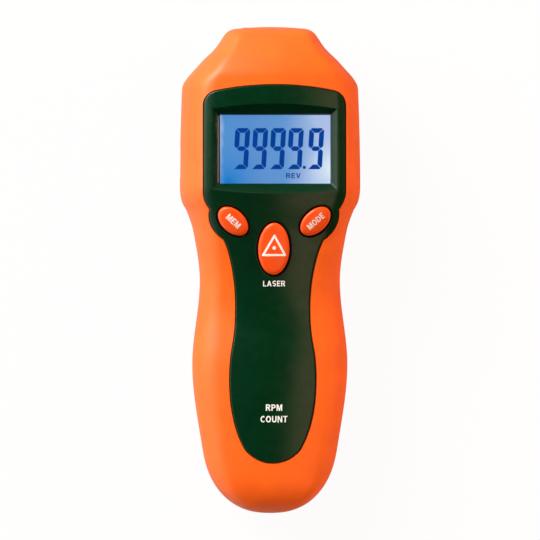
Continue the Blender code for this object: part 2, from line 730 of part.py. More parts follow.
def make_shells():
    """Front and back shells: the same loft, split at the seam and hollowed by one cavity."""
    orange = surface("orange_plastic", (0.90, 0.13, 0.02), 0.42)
    upper, lower = seam_blocks()
    cavity = loft("case cavity", WALL)
    inner_bound = loft("inner bound", WALL - BITE)
    seam_top = PARTING_LEVEL + SEAM / 2
    seam_low = PARTING_LEVEL - SEAM / 2

    notch_y = CREASE_Y + NOTCH_FROM_CREASE
    notch = box("thumb notch",
                (-HEAD_WIDTH, notch_y - NOTCH_LENGTH / 2, PARTING_LEVEL - NOTCH_HALF_HEIGHT),
                (NOTCH_DEPTH - HEAD_WIDTH / 2, notch_y + NOTCH_LENGTH / 2,
                 PARTING_LEVEL + NOTCH_HALF_HEIGHT), edge=NOTCH_EDGE)
    bores = [
        rod("laser hole", (LASER_X, NOSE_Y - 4 * WALL, OPTICS_LEVEL),
            (LASER_X, NOSE_Y + WALL, OPTICS_LEVEL), LASER_RADIUS + CLEARANCE),
        rod("sensor hole", (SENSOR_X, NOSE_Y - 4 * WALL, OPTICS_LEVEL),
            (SENSOR_X, NOSE_Y + WALL, OPTICS_LEVEL), SENSOR_RADIUS + CLEARANCE),
    ]

    front = loft("front_shell", 0.0, orange)
    shaped(front, "INTERSECT", upper)
    shaped(front, "DIFFERENCE", cavity)
    for number, (x, y) in enumerate(CASE_SCREWS):
        boss = rod(f"front boss {number}", (x, y, seam_top), (x, y, SKY), FRONT_BOSS_RADIUS)
        shaped(front, "UNION", shaped(boss, "INTERSECT", inner_bound))
    for number, (x, y) in enumerate(BOARD_SCREWS):
        post = rod(f"board post {number}", (x, y, BOARD_TOP + CLEARANCE), (x, y, SKY),
                   BOARD_POST_RADIUS)
        shaped(front, "UNION", shaped(post, "INTERSECT", inner_bound))
    for number, place_y in enumerate(BATTERY_RIB_PLACES):
        y = BATTERY_HEEL_Y + place_y
        rib = box(f"battery rib {number}",
                  (-BATTERY_RIB_WIDTH / 2, y - RIB_THICKNESS / 2, BATTERY_TOP + CLEARANCE),
                  (BATTERY_RIB_WIDTH / 2, y + RIB_THICKNESS / 2, SKY))
        shaped(front, "UNION", shaped(rib, "INTERSECT", inner_bound))
    rib_y = NOSE_Y - HOLDER_RIB_FROM_NOSE
    holder_rib = box("optics rib",
                     (-HOLDER_RIB_WIDTH / 2, rib_y - RIB_THICKNESS,
                      OPTICS_LEVEL + HOLDER_HALF_HEIGHT + CLEARANCE),
                     (HOLDER_RIB_WIDTH / 2, rib_y, SKY))
    shaped(front, "UNION", shaped(holder_rib, "INTERSECT", inner_bound))

    pocket = panel_prism("panel pocket", CLEARANCE, PARTING_LEVEL + WALL, SKY)
    shaped(pocket, "DIFFERENCE", loft("pocket floor", PANEL_THICKNESS + CLEARANCE))
    well = 2 * (RECESS_DEPTH + RECESS_WALL + CLEARANCE)
    display_hole = rectangle_cutter("display hole", DISPLAY_WIDTH + well - RECESS_DEPTH,
                                    DISPLAY_HEIGHT + well, WINDOW_TOP - WINDOW_THICKNESS, SKY)
    shaped(front, "DIFFERENCE", pocket, display_hole, notch, *bores)
    shaped(front, "DIFFERENCE", *key_apertures("shell", BOARD_TOP + WALL, SKY))
    hole_radius = SCREW_RADIUS + CLEARANCE
    for number, (x, y) in enumerate(CASE_SCREWS):
        top = SCREW_SEAT_LEVEL + CASE_SCREW_LENGTH + CLEARANCE
        hole = rod(f"pilot hole {number}", (x, y, PARTING_LEVEL - WALL), (x, y, top), hole_radius,
                   sides=SMALL_ROUND_SIDES)
        shaped(front, "DIFFERENCE", hole)
    for number, (x, y) in enumerate(BOARD_SCREWS):
        top = BOARD_LEVEL + BOARD_SCREW_LENGTH
        hole = rod(f"post hole {number}", (x, y, BOARD_LEVEL), (x, y, top), hole_radius,
                   sides=SMALL_ROUND_SIDES)
        shaped(front, "DIFFERENCE", hole)

    back = loft("back_shell", 0.0, orange)
    shaped(back, "INTERSECT", lower)
    shaped(back, "DIFFERENCE", cavity)
    for number, (x, y) in enumerate(CASE_SCREWS):
        boss = rod(f"back boss {number}", (x, y, -WALL), (x, y, seam_low), BACK_BOSS_RADIUS)
        shaped(back, "UNION", shaped(boss, "INTERSECT", inner_bound))
    bay = box("bay walls", (-BAY_HALF_WIDTH - BAY_WALL, BAY_HEEL_Y - BAY_WALL, -WALL),
              (BAY_HALF_WIDTH + BAY_WALL, BAY_NOSE_Y + BAY_WALL, BAY_WALL_TOP))
    bay_room = box("bay room", (-BAY_HALF_WIDTH, BAY_HEEL_Y, WALL + CLEARANCE / 6),
                   (BAY_HALF_WIDTH, BAY_NOSE_Y, PARTING_LEVEL + WALL))
    shaped(bay, "INTERSECT", inner_bound)
    pedestal_y = NOSE_Y - PEDESTAL_FROM_NOSE
    pedestal = box("optics pedestal", (-PEDESTAL_WIDTH / 2, pedestal_y - PEDESTAL_LENGTH, -WALL),
                   (PEDESTAL_WIDTH / 2, pedestal_y, OPTICS_LEVEL - HOLDER_HALF_HEIGHT - CLEARANCE))
    shaped(pedestal, "INTERSECT", inner_bound)
    shaped(back, "UNION", bay, pedestal)
    cover_room = prism("cover aperture", rounded_rectangle(
        COVER_WIDTH / 2 + CLEARANCE, COVER_HEEL_Y - CLEARANCE, COVER_NOSE_Y + CLEARANCE,
        COVER_CORNER + CLEARANCE), -WALL, PARTING_LEVEL - WALL)
    shaped(cover_room, "DIFFERENCE", loft("cover seat", COVER_THICKNESS + 2 * CLEARANCE))
    shaped(back, "DIFFERENCE", cover_room, bay_room, notch, *bores)
    for number, (x, y) in enumerate(CASE_SCREWS):
        sink = rod(f"counterbore {number}", (x, y, -WALL), (x, y, SCREW_SEAT_LEVEL),
                   COUNTERBORE_RADIUS)
        hole = rod(f"screw hole {number}", (x, y, SCREW_SEAT_LEVEL - WALL),
                   (x, y, PARTING_LEVEL + WALL), hole_radius, sides=SMALL_ROUND_SIDES)
        shaped(back, "DIFFERENCE", sink, hole)
    for step in back.modifiers:
        step.solver = "MANIFOLD"


def make_panel():
    """The dark panel: a crowned skin with the sloped display well moulded into it."""
    green = surface("dark_green_plastic", (0.012, 0.05, 0.025), 0.4)
    blank = panel_prism("panel blank", 0.0, PARTING_LEVEL + WALL, SKY)
    blank.name = "front_panel"
    blank.data.materials.append(green)
    blank.hide_render = False
    blank.display_type = "TEXTURED"
    CUTTERS.objects.unlink(blank)
    PIECES.objects.link(blank)
    shaped(blank, "DIFFERENCE", loft("panel underside", PANEL_THICKNESS))
    well = rectangle_cutter("display well", DISPLAY_WIDTH + RECESS_DEPTH + 2 * RECESS_WALL,
                            DISPLAY_HEIGHT + 2 * (RECESS_DEPTH + RECESS_WALL),
                            RECESS_LEVEL - RECESS_LIP, SKY + WALL)
    shaped(blank, "UNION", well)
    shaped(blank, "INTERSECT", loft("panel face", -PANEL_PROUD))
    opening = rectangle_cutter("display opening", DISPLAY_WIDTH, DISPLAY_HEIGHT,
                               PARTING_LEVEL, RECESS_LEVEL + BITE)
    shaped(blank, "DIFFERENCE", recess_cutter(), opening)
    shaped(blank, "DIFFERENCE", *key_apertures("panel", PARTING_LEVEL, SKY))


def make_display():
    """Window, display cell, backlight, their frame and the contact strip down to the board."""
    window_half_x = DISPLAY_WIDTH / 2 + WINDOW_OVERLAP
    window_half_y = DISPLAY_HEIGHT / 2 + WINDOW_OVERLAP
    box("display_window",
        (-window_half_x, DISPLAY_Y - window_half_y, WINDOW_TOP - WINDOW_THICKNESS),
        (window_half_x, DISPLAY_Y + window_half_y, WINDOW_TOP),
        surface("clear_plastic", (0.9, 0.93, 0.95), 0.08, clear=1.0))
    glass_half_x = DISPLAY_WIDTH / 2 + LCD_OVERLAP
    glass_half_y = DISPLAY_HEIGHT / 2 + LCD_OVERLAP
    box("lcd_glass", (-glass_half_x, DISPLAY_Y - glass_half_y, LCD_TOP - LCD_THICKNESS),
        (glass_half_x, DISPLAY_Y + glass_half_y, LCD_TOP),
        surface("blue_display", (0.10, 0.42, 0.75), 0.25))
    light_half_x = glass_half_x - BACKLIGHT_MARGIN
    light_high_y = DISPLAY_Y + glass_half_y - CONNECTOR_WIDTH - 3 * CLEARANCE
    light_low_y = DISPLAY_Y - glass_half_y + CLEARANCE
    box("lcd_backlight", (-light_half_x, light_low_y, BACKLIGHT_LEVEL),
        (light_half_x, light_high_y, BACKLIGHT_TOP),
        surface("white_plastic", (0.85, 0.85, 0.83), 0.5))

    frame_half_x = glass_half_x + CLEARANCE + LCD_FRAME_WALL
    frame_half_y = glass_half_y + CLEARANCE + LCD_FRAME_WALL
    frame = box("lcd_frame", (-frame_half_x, DISPLAY_Y - frame_half_y, BOARD_TOP + CLEARANCE),
                (frame_half_x, DISPLAY_Y + frame_half_y, LCD_TOP - BITE),
                surface("black_plastic", (0.03, 0.03, 0.03), 0.5))
    glass_room = box("glass room",
                     (-glass_half_x - CLEARANCE, DISPLAY_Y - glass_half_y - CLEARANCE,
                      LCD_TOP - LCD_THICKNESS - CLEARANCE),
                     (glass_half_x + CLEARANCE, DISPLAY_Y + glass_half_y + CLEARANCE,
                      LCD_TOP + WALL))
    light_room = box("backlight room",
                     (-light_half_x - CLEARANCE, light_low_y - CLEARANCE,
                      BACKLIGHT_LEVEL - CLEARANCE),
                     (light_half_x + CLEARANCE, light_high_y + CLEARANCE, LCD_TOP))
    strip_y = DISPLAY_Y + glass_half_y - CONNECTOR_WIDTH / 2
    strip_half_x = glass_half_x - BACKLIGHT_MARGIN
    strip_room = box("strip room",
                     (-strip_half_x - CLEARANCE, strip_y - CONNECTOR_WIDTH / 2 - CLEARANCE, 0),
                     (strip_half_x + CLEARANCE, strip_y + CONNECTOR_WIDTH / 2 + CLEARANCE, LCD_TOP))
    shaped(frame, "DIFFERENCE", glass_room, light_room, strip_room)
    box("lcd_connector",
        (-strip_half_x, strip_y - CONNECTOR_WIDTH / 2, BOARD_TOP + CLEARANCE),
        (strip_half_x, strip_y + CONNECTOR_WIDTH / 2, LCD_TOP - LCD_THICKNESS - CLEARANCE),
        surface("contact_rubber", (0.75, 0.55, 0.50), 0.7))


def key_body(name, key, material):
    """A key cap: rings that follow the case's front, with a flange below and a dome on top."""
    centre, half_long, half_short, turn = KEYS[key]
    flange_top = -WALL - CLEARANCE
    levels = [
        (KEY_FLANGE, flange_top - KEY_FLANGE_THICKNESS, 1.0),
        (KEY_FLANGE, flange_top, 1.0),
        (0.0, flange_top, 1.0),
        (0.0, KEY_PROUD - KEY_EDGE, 1.0),
        (-0.3 * KEY_EDGE, KEY_PROUD - 0.3 * KEY_EDGE, 1.0),
        (-KEY_EDGE, KEY_PROUD, 1.0),
        (0.0, KEY_PROUD + 0.3 * KEY_EDGE, 0.45),
    ]
    shape = bmesh.new()
    rings = []
    for grown, level, share in levels:
        outline = ellipse(centre, (half_long + grown) * share, (half_short + grown) * share, turn)
        rings.append([shape.verts.new((x, y, front_skin(x, y) + level)) for x, y in outline])
    for near, far in zip(rings, rings[1:]):
        for k in range(KEY_SIDES):
            after = (k + 1) % KEY_SIDES
            shape.faces.new((near[k], near[after], far[after], far[k]))
    skin = front_skin(*centre)
    ends = ((rings[0], skin + flange_top - KEY_FLANGE_THICKNESS),
            (rings[-1], skin + KEY_PROUD + 0.4 * KEY_EDGE))
    for end, level in ends:
        tip = shape.verts.new((*centre, level))
        for k in range(KEY_SIDES):
            shape.faces.new((end[k], end[(k + 1) % KEY_SIDES], tip))
    bmesh.ops.triangulate(shape, faces=shape.faces)
    item = place(name, mesh_of(shape, name), material)
    pivot_at(item, (*centre, skin))
    stem_foot = SWITCH_TOP + SWITCH_BUTTON_HEIGHT + KEY_TRAVEL + CLEARANCE
    stem = rod(name + " stem", (*centre, stem_foot),
               (*centre, skin + flange_top - KEY_FLANGE_THICKNESS / 2), KEY_STEM_RADIUS,
               sides=SMALL_ROUND_SIDES)
    shaped(item, "UNION", stem)


def make_keys():
    """The three keys and the switches under them on the board."""
    cap = surface("orange_key", (0.95, 0.12, 0.02), 0.35)
    casing = surface("switch_black", (0.04, 0.04, 0.04), 0.5)
    for key, (centre, _, _, _) in KEYS.items():
        key_body(f"{key}_key", key, cap)
        x, y = centre
        half = SWITCH_SIZE / 2
        body = box(f"{key}_switch", (x - half, y - half, BOARD_TOP + CLEARANCE),
                   (x + half, y + half, SWITCH_TOP), casing)
        button = rod(f"{key} switch button", (x, y, SWITCH_TOP - BITE),
                     (x, y, SWITCH_TOP + SWITCH_BUTTON_HEIGHT), SWITCH_BUTTON_RADIUS,
                     sides=SMALL_ROUND_SIDES)
        shaped(body, "UNION", button)


def make_board():
    """The circuit board with the larger parts on its underside."""
    tongue_y = SHOULDER_Y + TONGUE_REACH
    head_top_y = DISPLAY_Y + DISPLAY_HEIGHT / 2 + LCD_OVERLAP + CLEARANCE + LCD_FRAME_WALL
    head_low_y = CREASE_Y + BOARD_ABOVE_CREASE
    key_low_y = SMALL_KEY_Y - SMALL_KEY_LENGTH
    neck_low_y = BATTERY_NOSE_Y + BOARD_FROM_BATTERY
    slant = BOARD_THICKNESS
    steps = [
        (BOARD_TONGUE_WIDTH / 2, tongue_y), (BOARD_TONGUE_WIDTH / 2, head_top_y + slant / 2),
        (BOARD_HEAD_WIDTH / 2, head_top_y), (BOARD_HEAD_WIDTH / 2, head_low_y),
        (BOARD_KEY_WIDTH / 2, head_low_y - slant), (BOARD_KEY_WIDTH / 2, key_low_y),
        (BOARD_NECK_WIDTH / 2, key_low_y - slant), (BOARD_NECK_WIDTH / 2, neck_low_y),
    ]
    outline = steps + [(-x, y) for x, y in reversed(steps)]
    board = prism("main_board", outline, BOARD_LEVEL, BOARD_TOP,
                  surface("green_board", (0.02, 0.22, 0.08), 0.45))
    for number, (x, y) in enumerate(BOARD_SCREWS):
        hole = rod(f"board hole {number}", (x, y, BOARD_LEVEL - WALL), (x, y, BOARD_TOP + WALL),
                   SCREW_RADIUS + CLEARANCE, sides=SMALL_ROUND_SIDES)
        shaped(board, "DIFFERENCE", hole)
    under = BOARD_LEVEL - CLEARANCE
    half = CHIP_SIZE / 2
    box("controller_chip", (-half, DISPLAY_Y - half, under - CHIP_THICKNESS),
        (half, DISPLAY_Y + half, under), surface("chip_black", (0.02, 0.02, 0.02), 0.35))
    crystal_y = DISPLAY_Y - CHIP_SIZE
    box("crystal",
        (-CRYSTAL_LENGTH / 2, crystal_y - CRYSTAL_WIDTH / 2, under - CRYSTAL_HEIGHT),
        (CRYSTAL_LENGTH / 2, crystal_y + CRYSTAL_WIDTH / 2, under),
        surface("can_metal", (0.75, 0.75, 0.76), 0.25, metallic=1.0), edge=CRYSTAL_EDGE)
    capacitor_x = half + CAPACITOR_FROM_CHIP
    rod("capacitor", (capacitor_x, DISPLAY_Y, under - CAPACITOR_HEIGHT),
        (capacitor_x, DISPLAY_Y, under), CAPACITOR_RADIUS,
        surface("capacitor_sleeve", (0.05, 0.06, 0.12), 0.4))


def make_optics():
    """Laser, receiving lens, detector and dark sensor window, all carried by one holder."""
    black = surface("holder_black", (0.03, 0.03, 0.035), 0.5)
    glass = surface("optical_glass", (0.92, 0.94, 0.96), 0.03, clear=1.0)
    front_y = NOSE_Y - NOSE_DOME - WALL - SENSOR_FLANGE - 2 * CLEARANCE
    holder_y = front_y - CLEARANCE
    tail_y = SHOULDER_Y + HOLDER_FROM_SHOULDER
    laser_room = LASER_RADIUS + CLEARANCE
    sensor_room = SENSOR_RADIUS + CLEARANCE
    low = (LASER_X - laser_room - HOLDER_WALL, tail_y, OPTICS_LEVEL - HOLDER_HALF_HEIGHT)
    high = (SENSOR_X + sensor_room + HOLDER_WALL, holder_y, OPTICS_LEVEL + HOLDER_HALF_HEIGHT)
    holder = box("optics_holder", low, high, black, edge=HOLDER_EDGE)
    shaped(holder, "DIFFERENCE",
           rod("laser bore", (LASER_X, tail_y - WALL, OPTICS_LEVEL),
               (LASER_X, holder_y + WALL, OPTICS_LEVEL), laser_room),
           rod("sensor bore", (SENSOR_X, tail_y + 2 * WALL, OPTICS_LEVEL),
               (SENSOR_X, holder_y + WALL, OPTICS_LEVEL), sensor_room),
           rod("detector bore", (SENSOR_X, tail_y - WALL, OPTICS_LEVEL),
               (SENSOR_X, holder_y, OPTICS_LEVEL), DETECTOR_RADIUS + CLEARANCE))

    turned("laser_module", [
        (0.0, -LASER_LENS_DEPTH), (LASER_LENS_RADIUS, -LASER_LENS_DEPTH), (LASER_LENS_RADIUS, 0.0),
        (LASER_RADIUS - LASER_CHAMFER, 0.0), (LASER_RADIUS, -LASER_CHAMFER),
        (LASER_RADIUS, -LASER_LENGTH), (0.0, -LASER_LENGTH),
    ], (LASER_X, NOSE_Y, OPTICS_LEVEL), surface("laser_black", (0.05, 0.05, 0.05), 0.35), "Y")
    lens_radius = LASER_LENS_RADIUS - CLEARANCE
    lens_top = LASER_LENS_DEPTH - 2 * CLEARANCE
    lens_rim = lens_top / 2
    turned("laser_lens", [
        (0.0, lens_top), (0.6 * lens_radius, lens_rim + 0.64 * (lens_top - lens_rim)),
        (lens_radius, lens_rim), (lens_radius, 0.0), (0.0, 0.0),
    ], (LASER_X, NOSE_Y - LASER_LENS_DEPTH + CLEARANCE, OPTICS_LEVEL), glass, "Y")

    turned("sensor_window", [
        (0.0, WALL + CLEARANCE), (SENSOR_RADIUS, WALL + CLEARANCE), (SENSOR_RADIUS, 0.0),
        (SENSOR_RADIUS + SENSOR_FLANGE, 0.0), (SENSOR_RADIUS + SENSOR_FLANGE, -SENSOR_FLANGE),
        (0.0, -SENSOR_FLANGE),
    ], (SENSOR_X, front_y + SENSOR_FLANGE, OPTICS_LEVEL),
        surface("smoked_plastic", (0.10, 0.01, 0.015), 0.08), "Y")
    rim = SENSOR_LENS_RIM
    turned("sensor_lens", [
        (0.0, SENSOR_LENS_THICKNESS),
        (0.5 * SENSOR_RADIUS, rim + 0.8 * (SENSOR_LENS_THICKNESS - rim)),
        (SENSOR_RADIUS, rim), (SENSOR_RADIUS, 0.0), (0.0, 0.0),
    ], (SENSOR_X, holder_y - SENSOR_LENS_THICKNESS - BITE, OPTICS_LEVEL), glass, "Y")
    turned("photo_detector", [
        (0.0, DETECTOR_LENGTH), (0.6 * DETECTOR_RADIUS, DETECTOR_LENGTH - 0.2 * DETECTOR_RADIUS),
        (DETECTOR_RADIUS, DETECTOR_LENGTH - DETECTOR_RADIUS), (DETECTOR_RADIUS, 0.0), (0.0, 0.0),
    ], (SENSOR_X, tail_y - CLEARANCE, OPTICS_LEVEL),
        surface("detector_dark", (0.03, 0.02, 0.03), 0.15), "Y")


def make_battery():
    """The 9 V block, the snap on its terminals and the two leads up to the board."""
    half = BATTERY_WIDTH / 2
    battery = box("battery", (-half, BATTERY_HEEL_Y, BATTERY_LEVEL),
                  (half, BATTERY_NOSE_Y, BATTERY_TOP),
                  surface("battery_metal", (0.35, 0.36, 0.38), 0.3, metallic=1.0), edge=BATTERY_EDGE)
    spots = ((-TERMINAL_SPACING / 2, STUD_RADIUS), (TERMINAL_SPACING / 2, SOCKET_RADIUS))
    for x, radius in spots:
        terminal = rod(f"terminal {radius}", (x, BATTERY_NOSE_Y - BITE, BATTERY_AXIS),
                       (x, BATTERY_NOSE_Y + TERMINAL_HEIGHT, BATTERY_AXIS), radius,
                       sides=SMALL_ROUND_SIDES)
        shaped(battery, "UNION", terminal)

    snap = box("battery_snap", (-half + BITE, SNAP_Y, BATTERY_AXIS - SNAP_HEIGHT / 2),
               (half - BITE, SNAP_Y + SNAP_THICKNESS, BATTERY_AXIS + SNAP_HEIGHT / 2),
               surface("snap_black", (0.03, 0.03, 0.03), 0.6), edge=SNAP_EDGE)
    for x, radius in spots:
        socket = rod(f"snap socket {radius}", (x, SNAP_Y - WALL, BATTERY_AXIS),
                     (x, BATTERY_NOSE_Y + TERMINAL_HEIGHT + CLEARANCE, BATTERY_AXIS),
                     radius + CLEARANCE, sides=SMALL_ROUND_SIDES)
        shaped(snap, "DIFFERENCE", socket)

    start_y = SNAP_Y + SNAP_THICKNESS / 2
    start_z = BATTERY_AXIS + SNAP_HEIGHT / 2 + CLEARANCE
    end_z = BOARD_LEVEL - 2 * CLEARANCE
    for name, side, colour in (("battery_lead_red", 1, (0.6, 0.02, 0.02)),
                               ("battery_lead_black", -1, (0.02, 0.02, 0.02))):
        x = side * LEAD_SPACING / 2
        rise = end_z - start_z
        curve = bpy.data.curves.new(name, "CURVE")
        curve.dimensions = "3D"
        curve.bevel_depth = LEAD_RADIUS
        curve.bevel_resolution = 2
        curve.use_fill_caps = True
        line = curve.splines.new("POLY")
        line.points.add(LEAD_POINTS - 1)
        for k, point in enumerate(line.points):
            t = k / (LEAD_POINTS - 1)
            sweep = t * t * (3 - 2 * t)
            point.co = (x, start_y + LEAD_REACH * sweep, start_z + rise * t, 1)
        lead = bpy.data.objects.new(name, curve)
        PIECES.objects.link(lead)
        curve.materials.append(surface(name + "_skin", colour, 0.5))
        weld = lead.modifiers.new("closed ends", "WELD")
        weld.merge_threshold = 0.001 * MM


def make_cover():
    """The battery cover: a plate cut from the back skin, with two hooks and a thumb grip."""
    orange = surface("cover_orange", (0.90, 0.13, 0.02), 0.42)
    outline = rounded_rectangle(COVER_WIDTH / 2, COVER_HEEL_Y, COVER_NOSE_Y, COVER_CORNER)
    cover = prism("battery_cover", outline, -WALL, PARTING_LEVEL - WALL, orange)
    pivot_at(cover, COVER_HINGE)
    shaped(cover, "INTERSECT", loft("cover face", CLEARANCE))
    shaped(cover, "DIFFERENCE", loft("cover underside", CLEARANCE + COVER_THICKNESS))
    hook_level = CLEARANCE + COVER_THICKNESS
    for side in (-1, 1):
        middle = side * HOOK_SPACING / 2
        neck = box(f"hook neck {side}",
                   (middle - HOOK_WIDTH / 2, COVER_NOSE_Y - 2 * HOOK_REACH, hook_level - BITE),
                   (middle + HOOK_WIDTH / 2, COVER_NOSE_Y - BITE, hook_level + 2 * CLEARANCE))
        hook = box(f"hook {side}",
                   (middle - HOOK_WIDTH / 2, COVER_NOSE_Y - 2 * HOOK_REACH,
                    hook_level + HOOK_LIFT),
                   (middle + HOOK_WIDTH / 2, COVER_NOSE_Y + HOOK_REACH,
                    hook_level + HOOK_LIFT + HOOK_THICKNESS))
        shaped(cover, "UNION", neck, hook)
    for k in range(THUMB_GROOVES):
        y = COVER_HEEL_Y + THUMB_GROOVE_FROM_END + k * THUMB_GROOVE_SPACING
        groove = rod(f"thumb groove {k}", (-THUMB_GROOVE_WIDTH / 2, y, -THUMB_GROOVE_DROP),
                     (THUMB_GROOVE_WIDTH / 2, y, -THUMB_GROOVE_DROP), THUMB_GROOVE_RADIUS,
                     sides=SMALL_ROUND_SIDES)
        shaped(cover, "DIFFERENCE", groove)


def screw(name, x, y, seat, length, material):
    """A pan-head screw with a cross recess that points up, its head below the seat."""
    under_head = seat - CLEARANCE
    top = under_head + length
    face = under_head - SCREW_HEAD_HEIGHT
    item = turned(name, [
        (0.0, top), (SCREW_RADIUS, top - SCREW_RADIUS),
        (SCREW_RADIUS, under_head), (SCREW_HEAD_RADIUS, under_head),
        (SCREW_HEAD_RADIUS, under_head - 0.6 * SCREW_HEAD_HEIGHT),
        (0.8 * SCREW_HEAD_RADIUS, face), (0.0, face),
    ], (x, y, 0), material, sides=SMALL_ROUND_SIDES)
    long_arm = 0.62 * SCREW_HEAD_RADIUS
    short_arm = 0.14 * SCREW_HEAD_RADIUS
    depth = 0.55 * SCREW_HEAD_HEIGHT
    one = box(f"{name} slot", (x - long_arm, y - short_arm, face - depth),
              (x + long_arm, y + short_arm, face + depth))
    other = box(f"{name} cross", (x - short_arm, y - long_arm, face - depth),
                (x + short_arm, y + long_arm, face + depth))
    shaped(item, "DIFFERENCE", one, other)


def make_screws():
    """Five screws that close the case and four that hold the board to the front shell."""
    steel = surface("screw_steel", (0.55, 0.55, 0.57), 0.3, metallic=1.0)
    for number, (x, y) in enumerate(CASE_SCREWS, start=1):
        screw(f"case_screw_{number}", x, y, SCREW_SEAT_LEVEL, CASE_SCREW_LENGTH, steel)
    for number, (x, y) in enumerate(BOARD_SCREWS, start=1):
        screw(f"board_screw_{number}", x, y, BOARD_LEVEL, BOARD_SCREW_LENGTH, steel)


for old in list(bpy.data.objects):
    bpy.data.objects.remove(old, do_unlink=True)
PIECES = collection("laser_tachometer")
CUTTERS = collection("laser_tachometer_cutters")

make_shells()
make_panel()
make_display()
make_keys()
make_board()
make_optics()
make_battery()
make_cover()
make_screws()
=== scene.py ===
# %% [markdown]
# # A hand-held laser tachometer
# The meter is 160 mm long and lies on its back, with its nose towards +Y and its display facing +Z.
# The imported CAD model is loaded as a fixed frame. The pieces that show are then made finely around it,
# each from a rule in millimetres, so they land where the CAD says without any fitting.

import math

import bmesh
import bpy
import numpy as np
from mathutils import Matrix, Vector, geometry


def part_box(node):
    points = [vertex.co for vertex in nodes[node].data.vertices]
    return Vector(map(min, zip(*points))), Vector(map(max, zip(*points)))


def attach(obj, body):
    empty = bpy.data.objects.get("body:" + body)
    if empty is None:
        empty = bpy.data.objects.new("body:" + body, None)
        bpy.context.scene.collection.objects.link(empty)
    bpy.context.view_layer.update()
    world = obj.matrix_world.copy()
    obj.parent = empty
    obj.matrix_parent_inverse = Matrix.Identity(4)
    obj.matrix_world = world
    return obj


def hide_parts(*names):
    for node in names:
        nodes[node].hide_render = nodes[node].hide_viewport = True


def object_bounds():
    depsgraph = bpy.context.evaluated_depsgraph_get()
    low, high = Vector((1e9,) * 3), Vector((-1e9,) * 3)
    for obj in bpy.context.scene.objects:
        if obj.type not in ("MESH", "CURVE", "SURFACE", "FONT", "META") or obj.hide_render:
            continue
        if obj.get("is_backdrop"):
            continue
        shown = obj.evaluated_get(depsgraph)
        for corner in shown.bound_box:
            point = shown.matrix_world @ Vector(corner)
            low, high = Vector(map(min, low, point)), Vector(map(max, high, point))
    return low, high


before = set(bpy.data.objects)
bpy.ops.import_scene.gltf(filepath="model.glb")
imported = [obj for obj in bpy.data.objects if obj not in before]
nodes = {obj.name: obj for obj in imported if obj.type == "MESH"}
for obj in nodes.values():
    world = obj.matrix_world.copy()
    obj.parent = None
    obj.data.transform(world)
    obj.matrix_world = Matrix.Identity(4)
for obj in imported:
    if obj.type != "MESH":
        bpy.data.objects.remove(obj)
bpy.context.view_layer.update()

# %% [markdown]
# ## The rule of the case
# A moulded case like this one is drawn as a row of sections along its length. Every size below is a
# dimension of the real meter. A smooth curve through a few stations gives the width, the height of the
# front, the height of the back and the crown at any place along Y.

# %% Sizes of the case
MM = 0.001
NOSE_Y, HEEL_Y = 80.0 * MM, -80.0 * MM
SHOULDER_Y, CREASE_Y, WAIST_Y, BELLY_Y = 59.5 * MM, 23.0 * MM, -3.5 * MM, -31.0 * MM
HEAD_HALF, WAIST_HALF, GRIP_HALF = 29.6 * MM, 23.0 * MM, 25.5 * MM
HEAD_HEIGHT, WAIST_HEIGHT, GRIP_HEIGHT, HEEL_HEIGHT = 41.8 * MM, 32.2 * MM, 33.2 * MM, 30.0 * MM
NOSE_TOP, NOSE_UNDERSIDE = 33.5 * MM, 7.0 * MM
PARTING, SEAM, SEAM_ROLL = 19.5 * MM, 0.3 * MM, 0.22 * MM
EASE, FLARE, BITE = 4.0 * MM, 10.5 * MM, 0.5 * MM
NOSE_CORNER, NOSE_DOME, NOSE_LEAN = 5.0 * MM, 0.6 * MM, math.radians(37)
CORNER_Y = NOSE_Y - NOSE_DOME - NOSE_CORNER * (1 - math.sin(NOSE_LEAN))
HEEL_ROUND_ACROSS, HEEL_ROUND_DEEP = 22.0 * MM, 13.0 * MM
FRONT_FLAT, BACK_FLAT, SHOULDER_POWER, HEEL_POWER = 0.68, 0.60, 2.3, 2.4
WALL, CLEARANCE = 2.5 * MM, 0.3 * MM
ABOVE_ALL, BELOW_ALL = 52 * MM, -2 * MM


# %% A smooth curve through stations
def flowing(stations):
    """A curve through (y, value) stations that never overshoots between two of them."""
    y, v = (np.array(column, float) for column in zip(*stations))
    span = np.diff(y)
    slope = np.diff(v) / span
    both = slope[:-1] * slope[1:]
    total = np.where(both > 0, slope[:-1] + slope[1:], 1.0)
    inner = np.where(both > 0, 2 * both / total, 0.0)
    tangent = np.concatenate([slope[:1], inner, slope[-1:]])

    def value(at):
        at = np.clip(np.asarray(at, float), y[0], y[-1])
        i = np.clip(np.searchsorted(y, at, "right") - 1, 0, len(span) - 1)
        t = (at - y[i]) / span[i]
        ends = (1 + 2 * t) * (1 - t) ** 2 * v[i] + t * t * (3 - 2 * t) * v[i + 1]
        return ends + (t * (1 - t) ** 2 * tangent[i] - t * t * (1 - t) * tangent[i + 1]) * span[i]

    return value


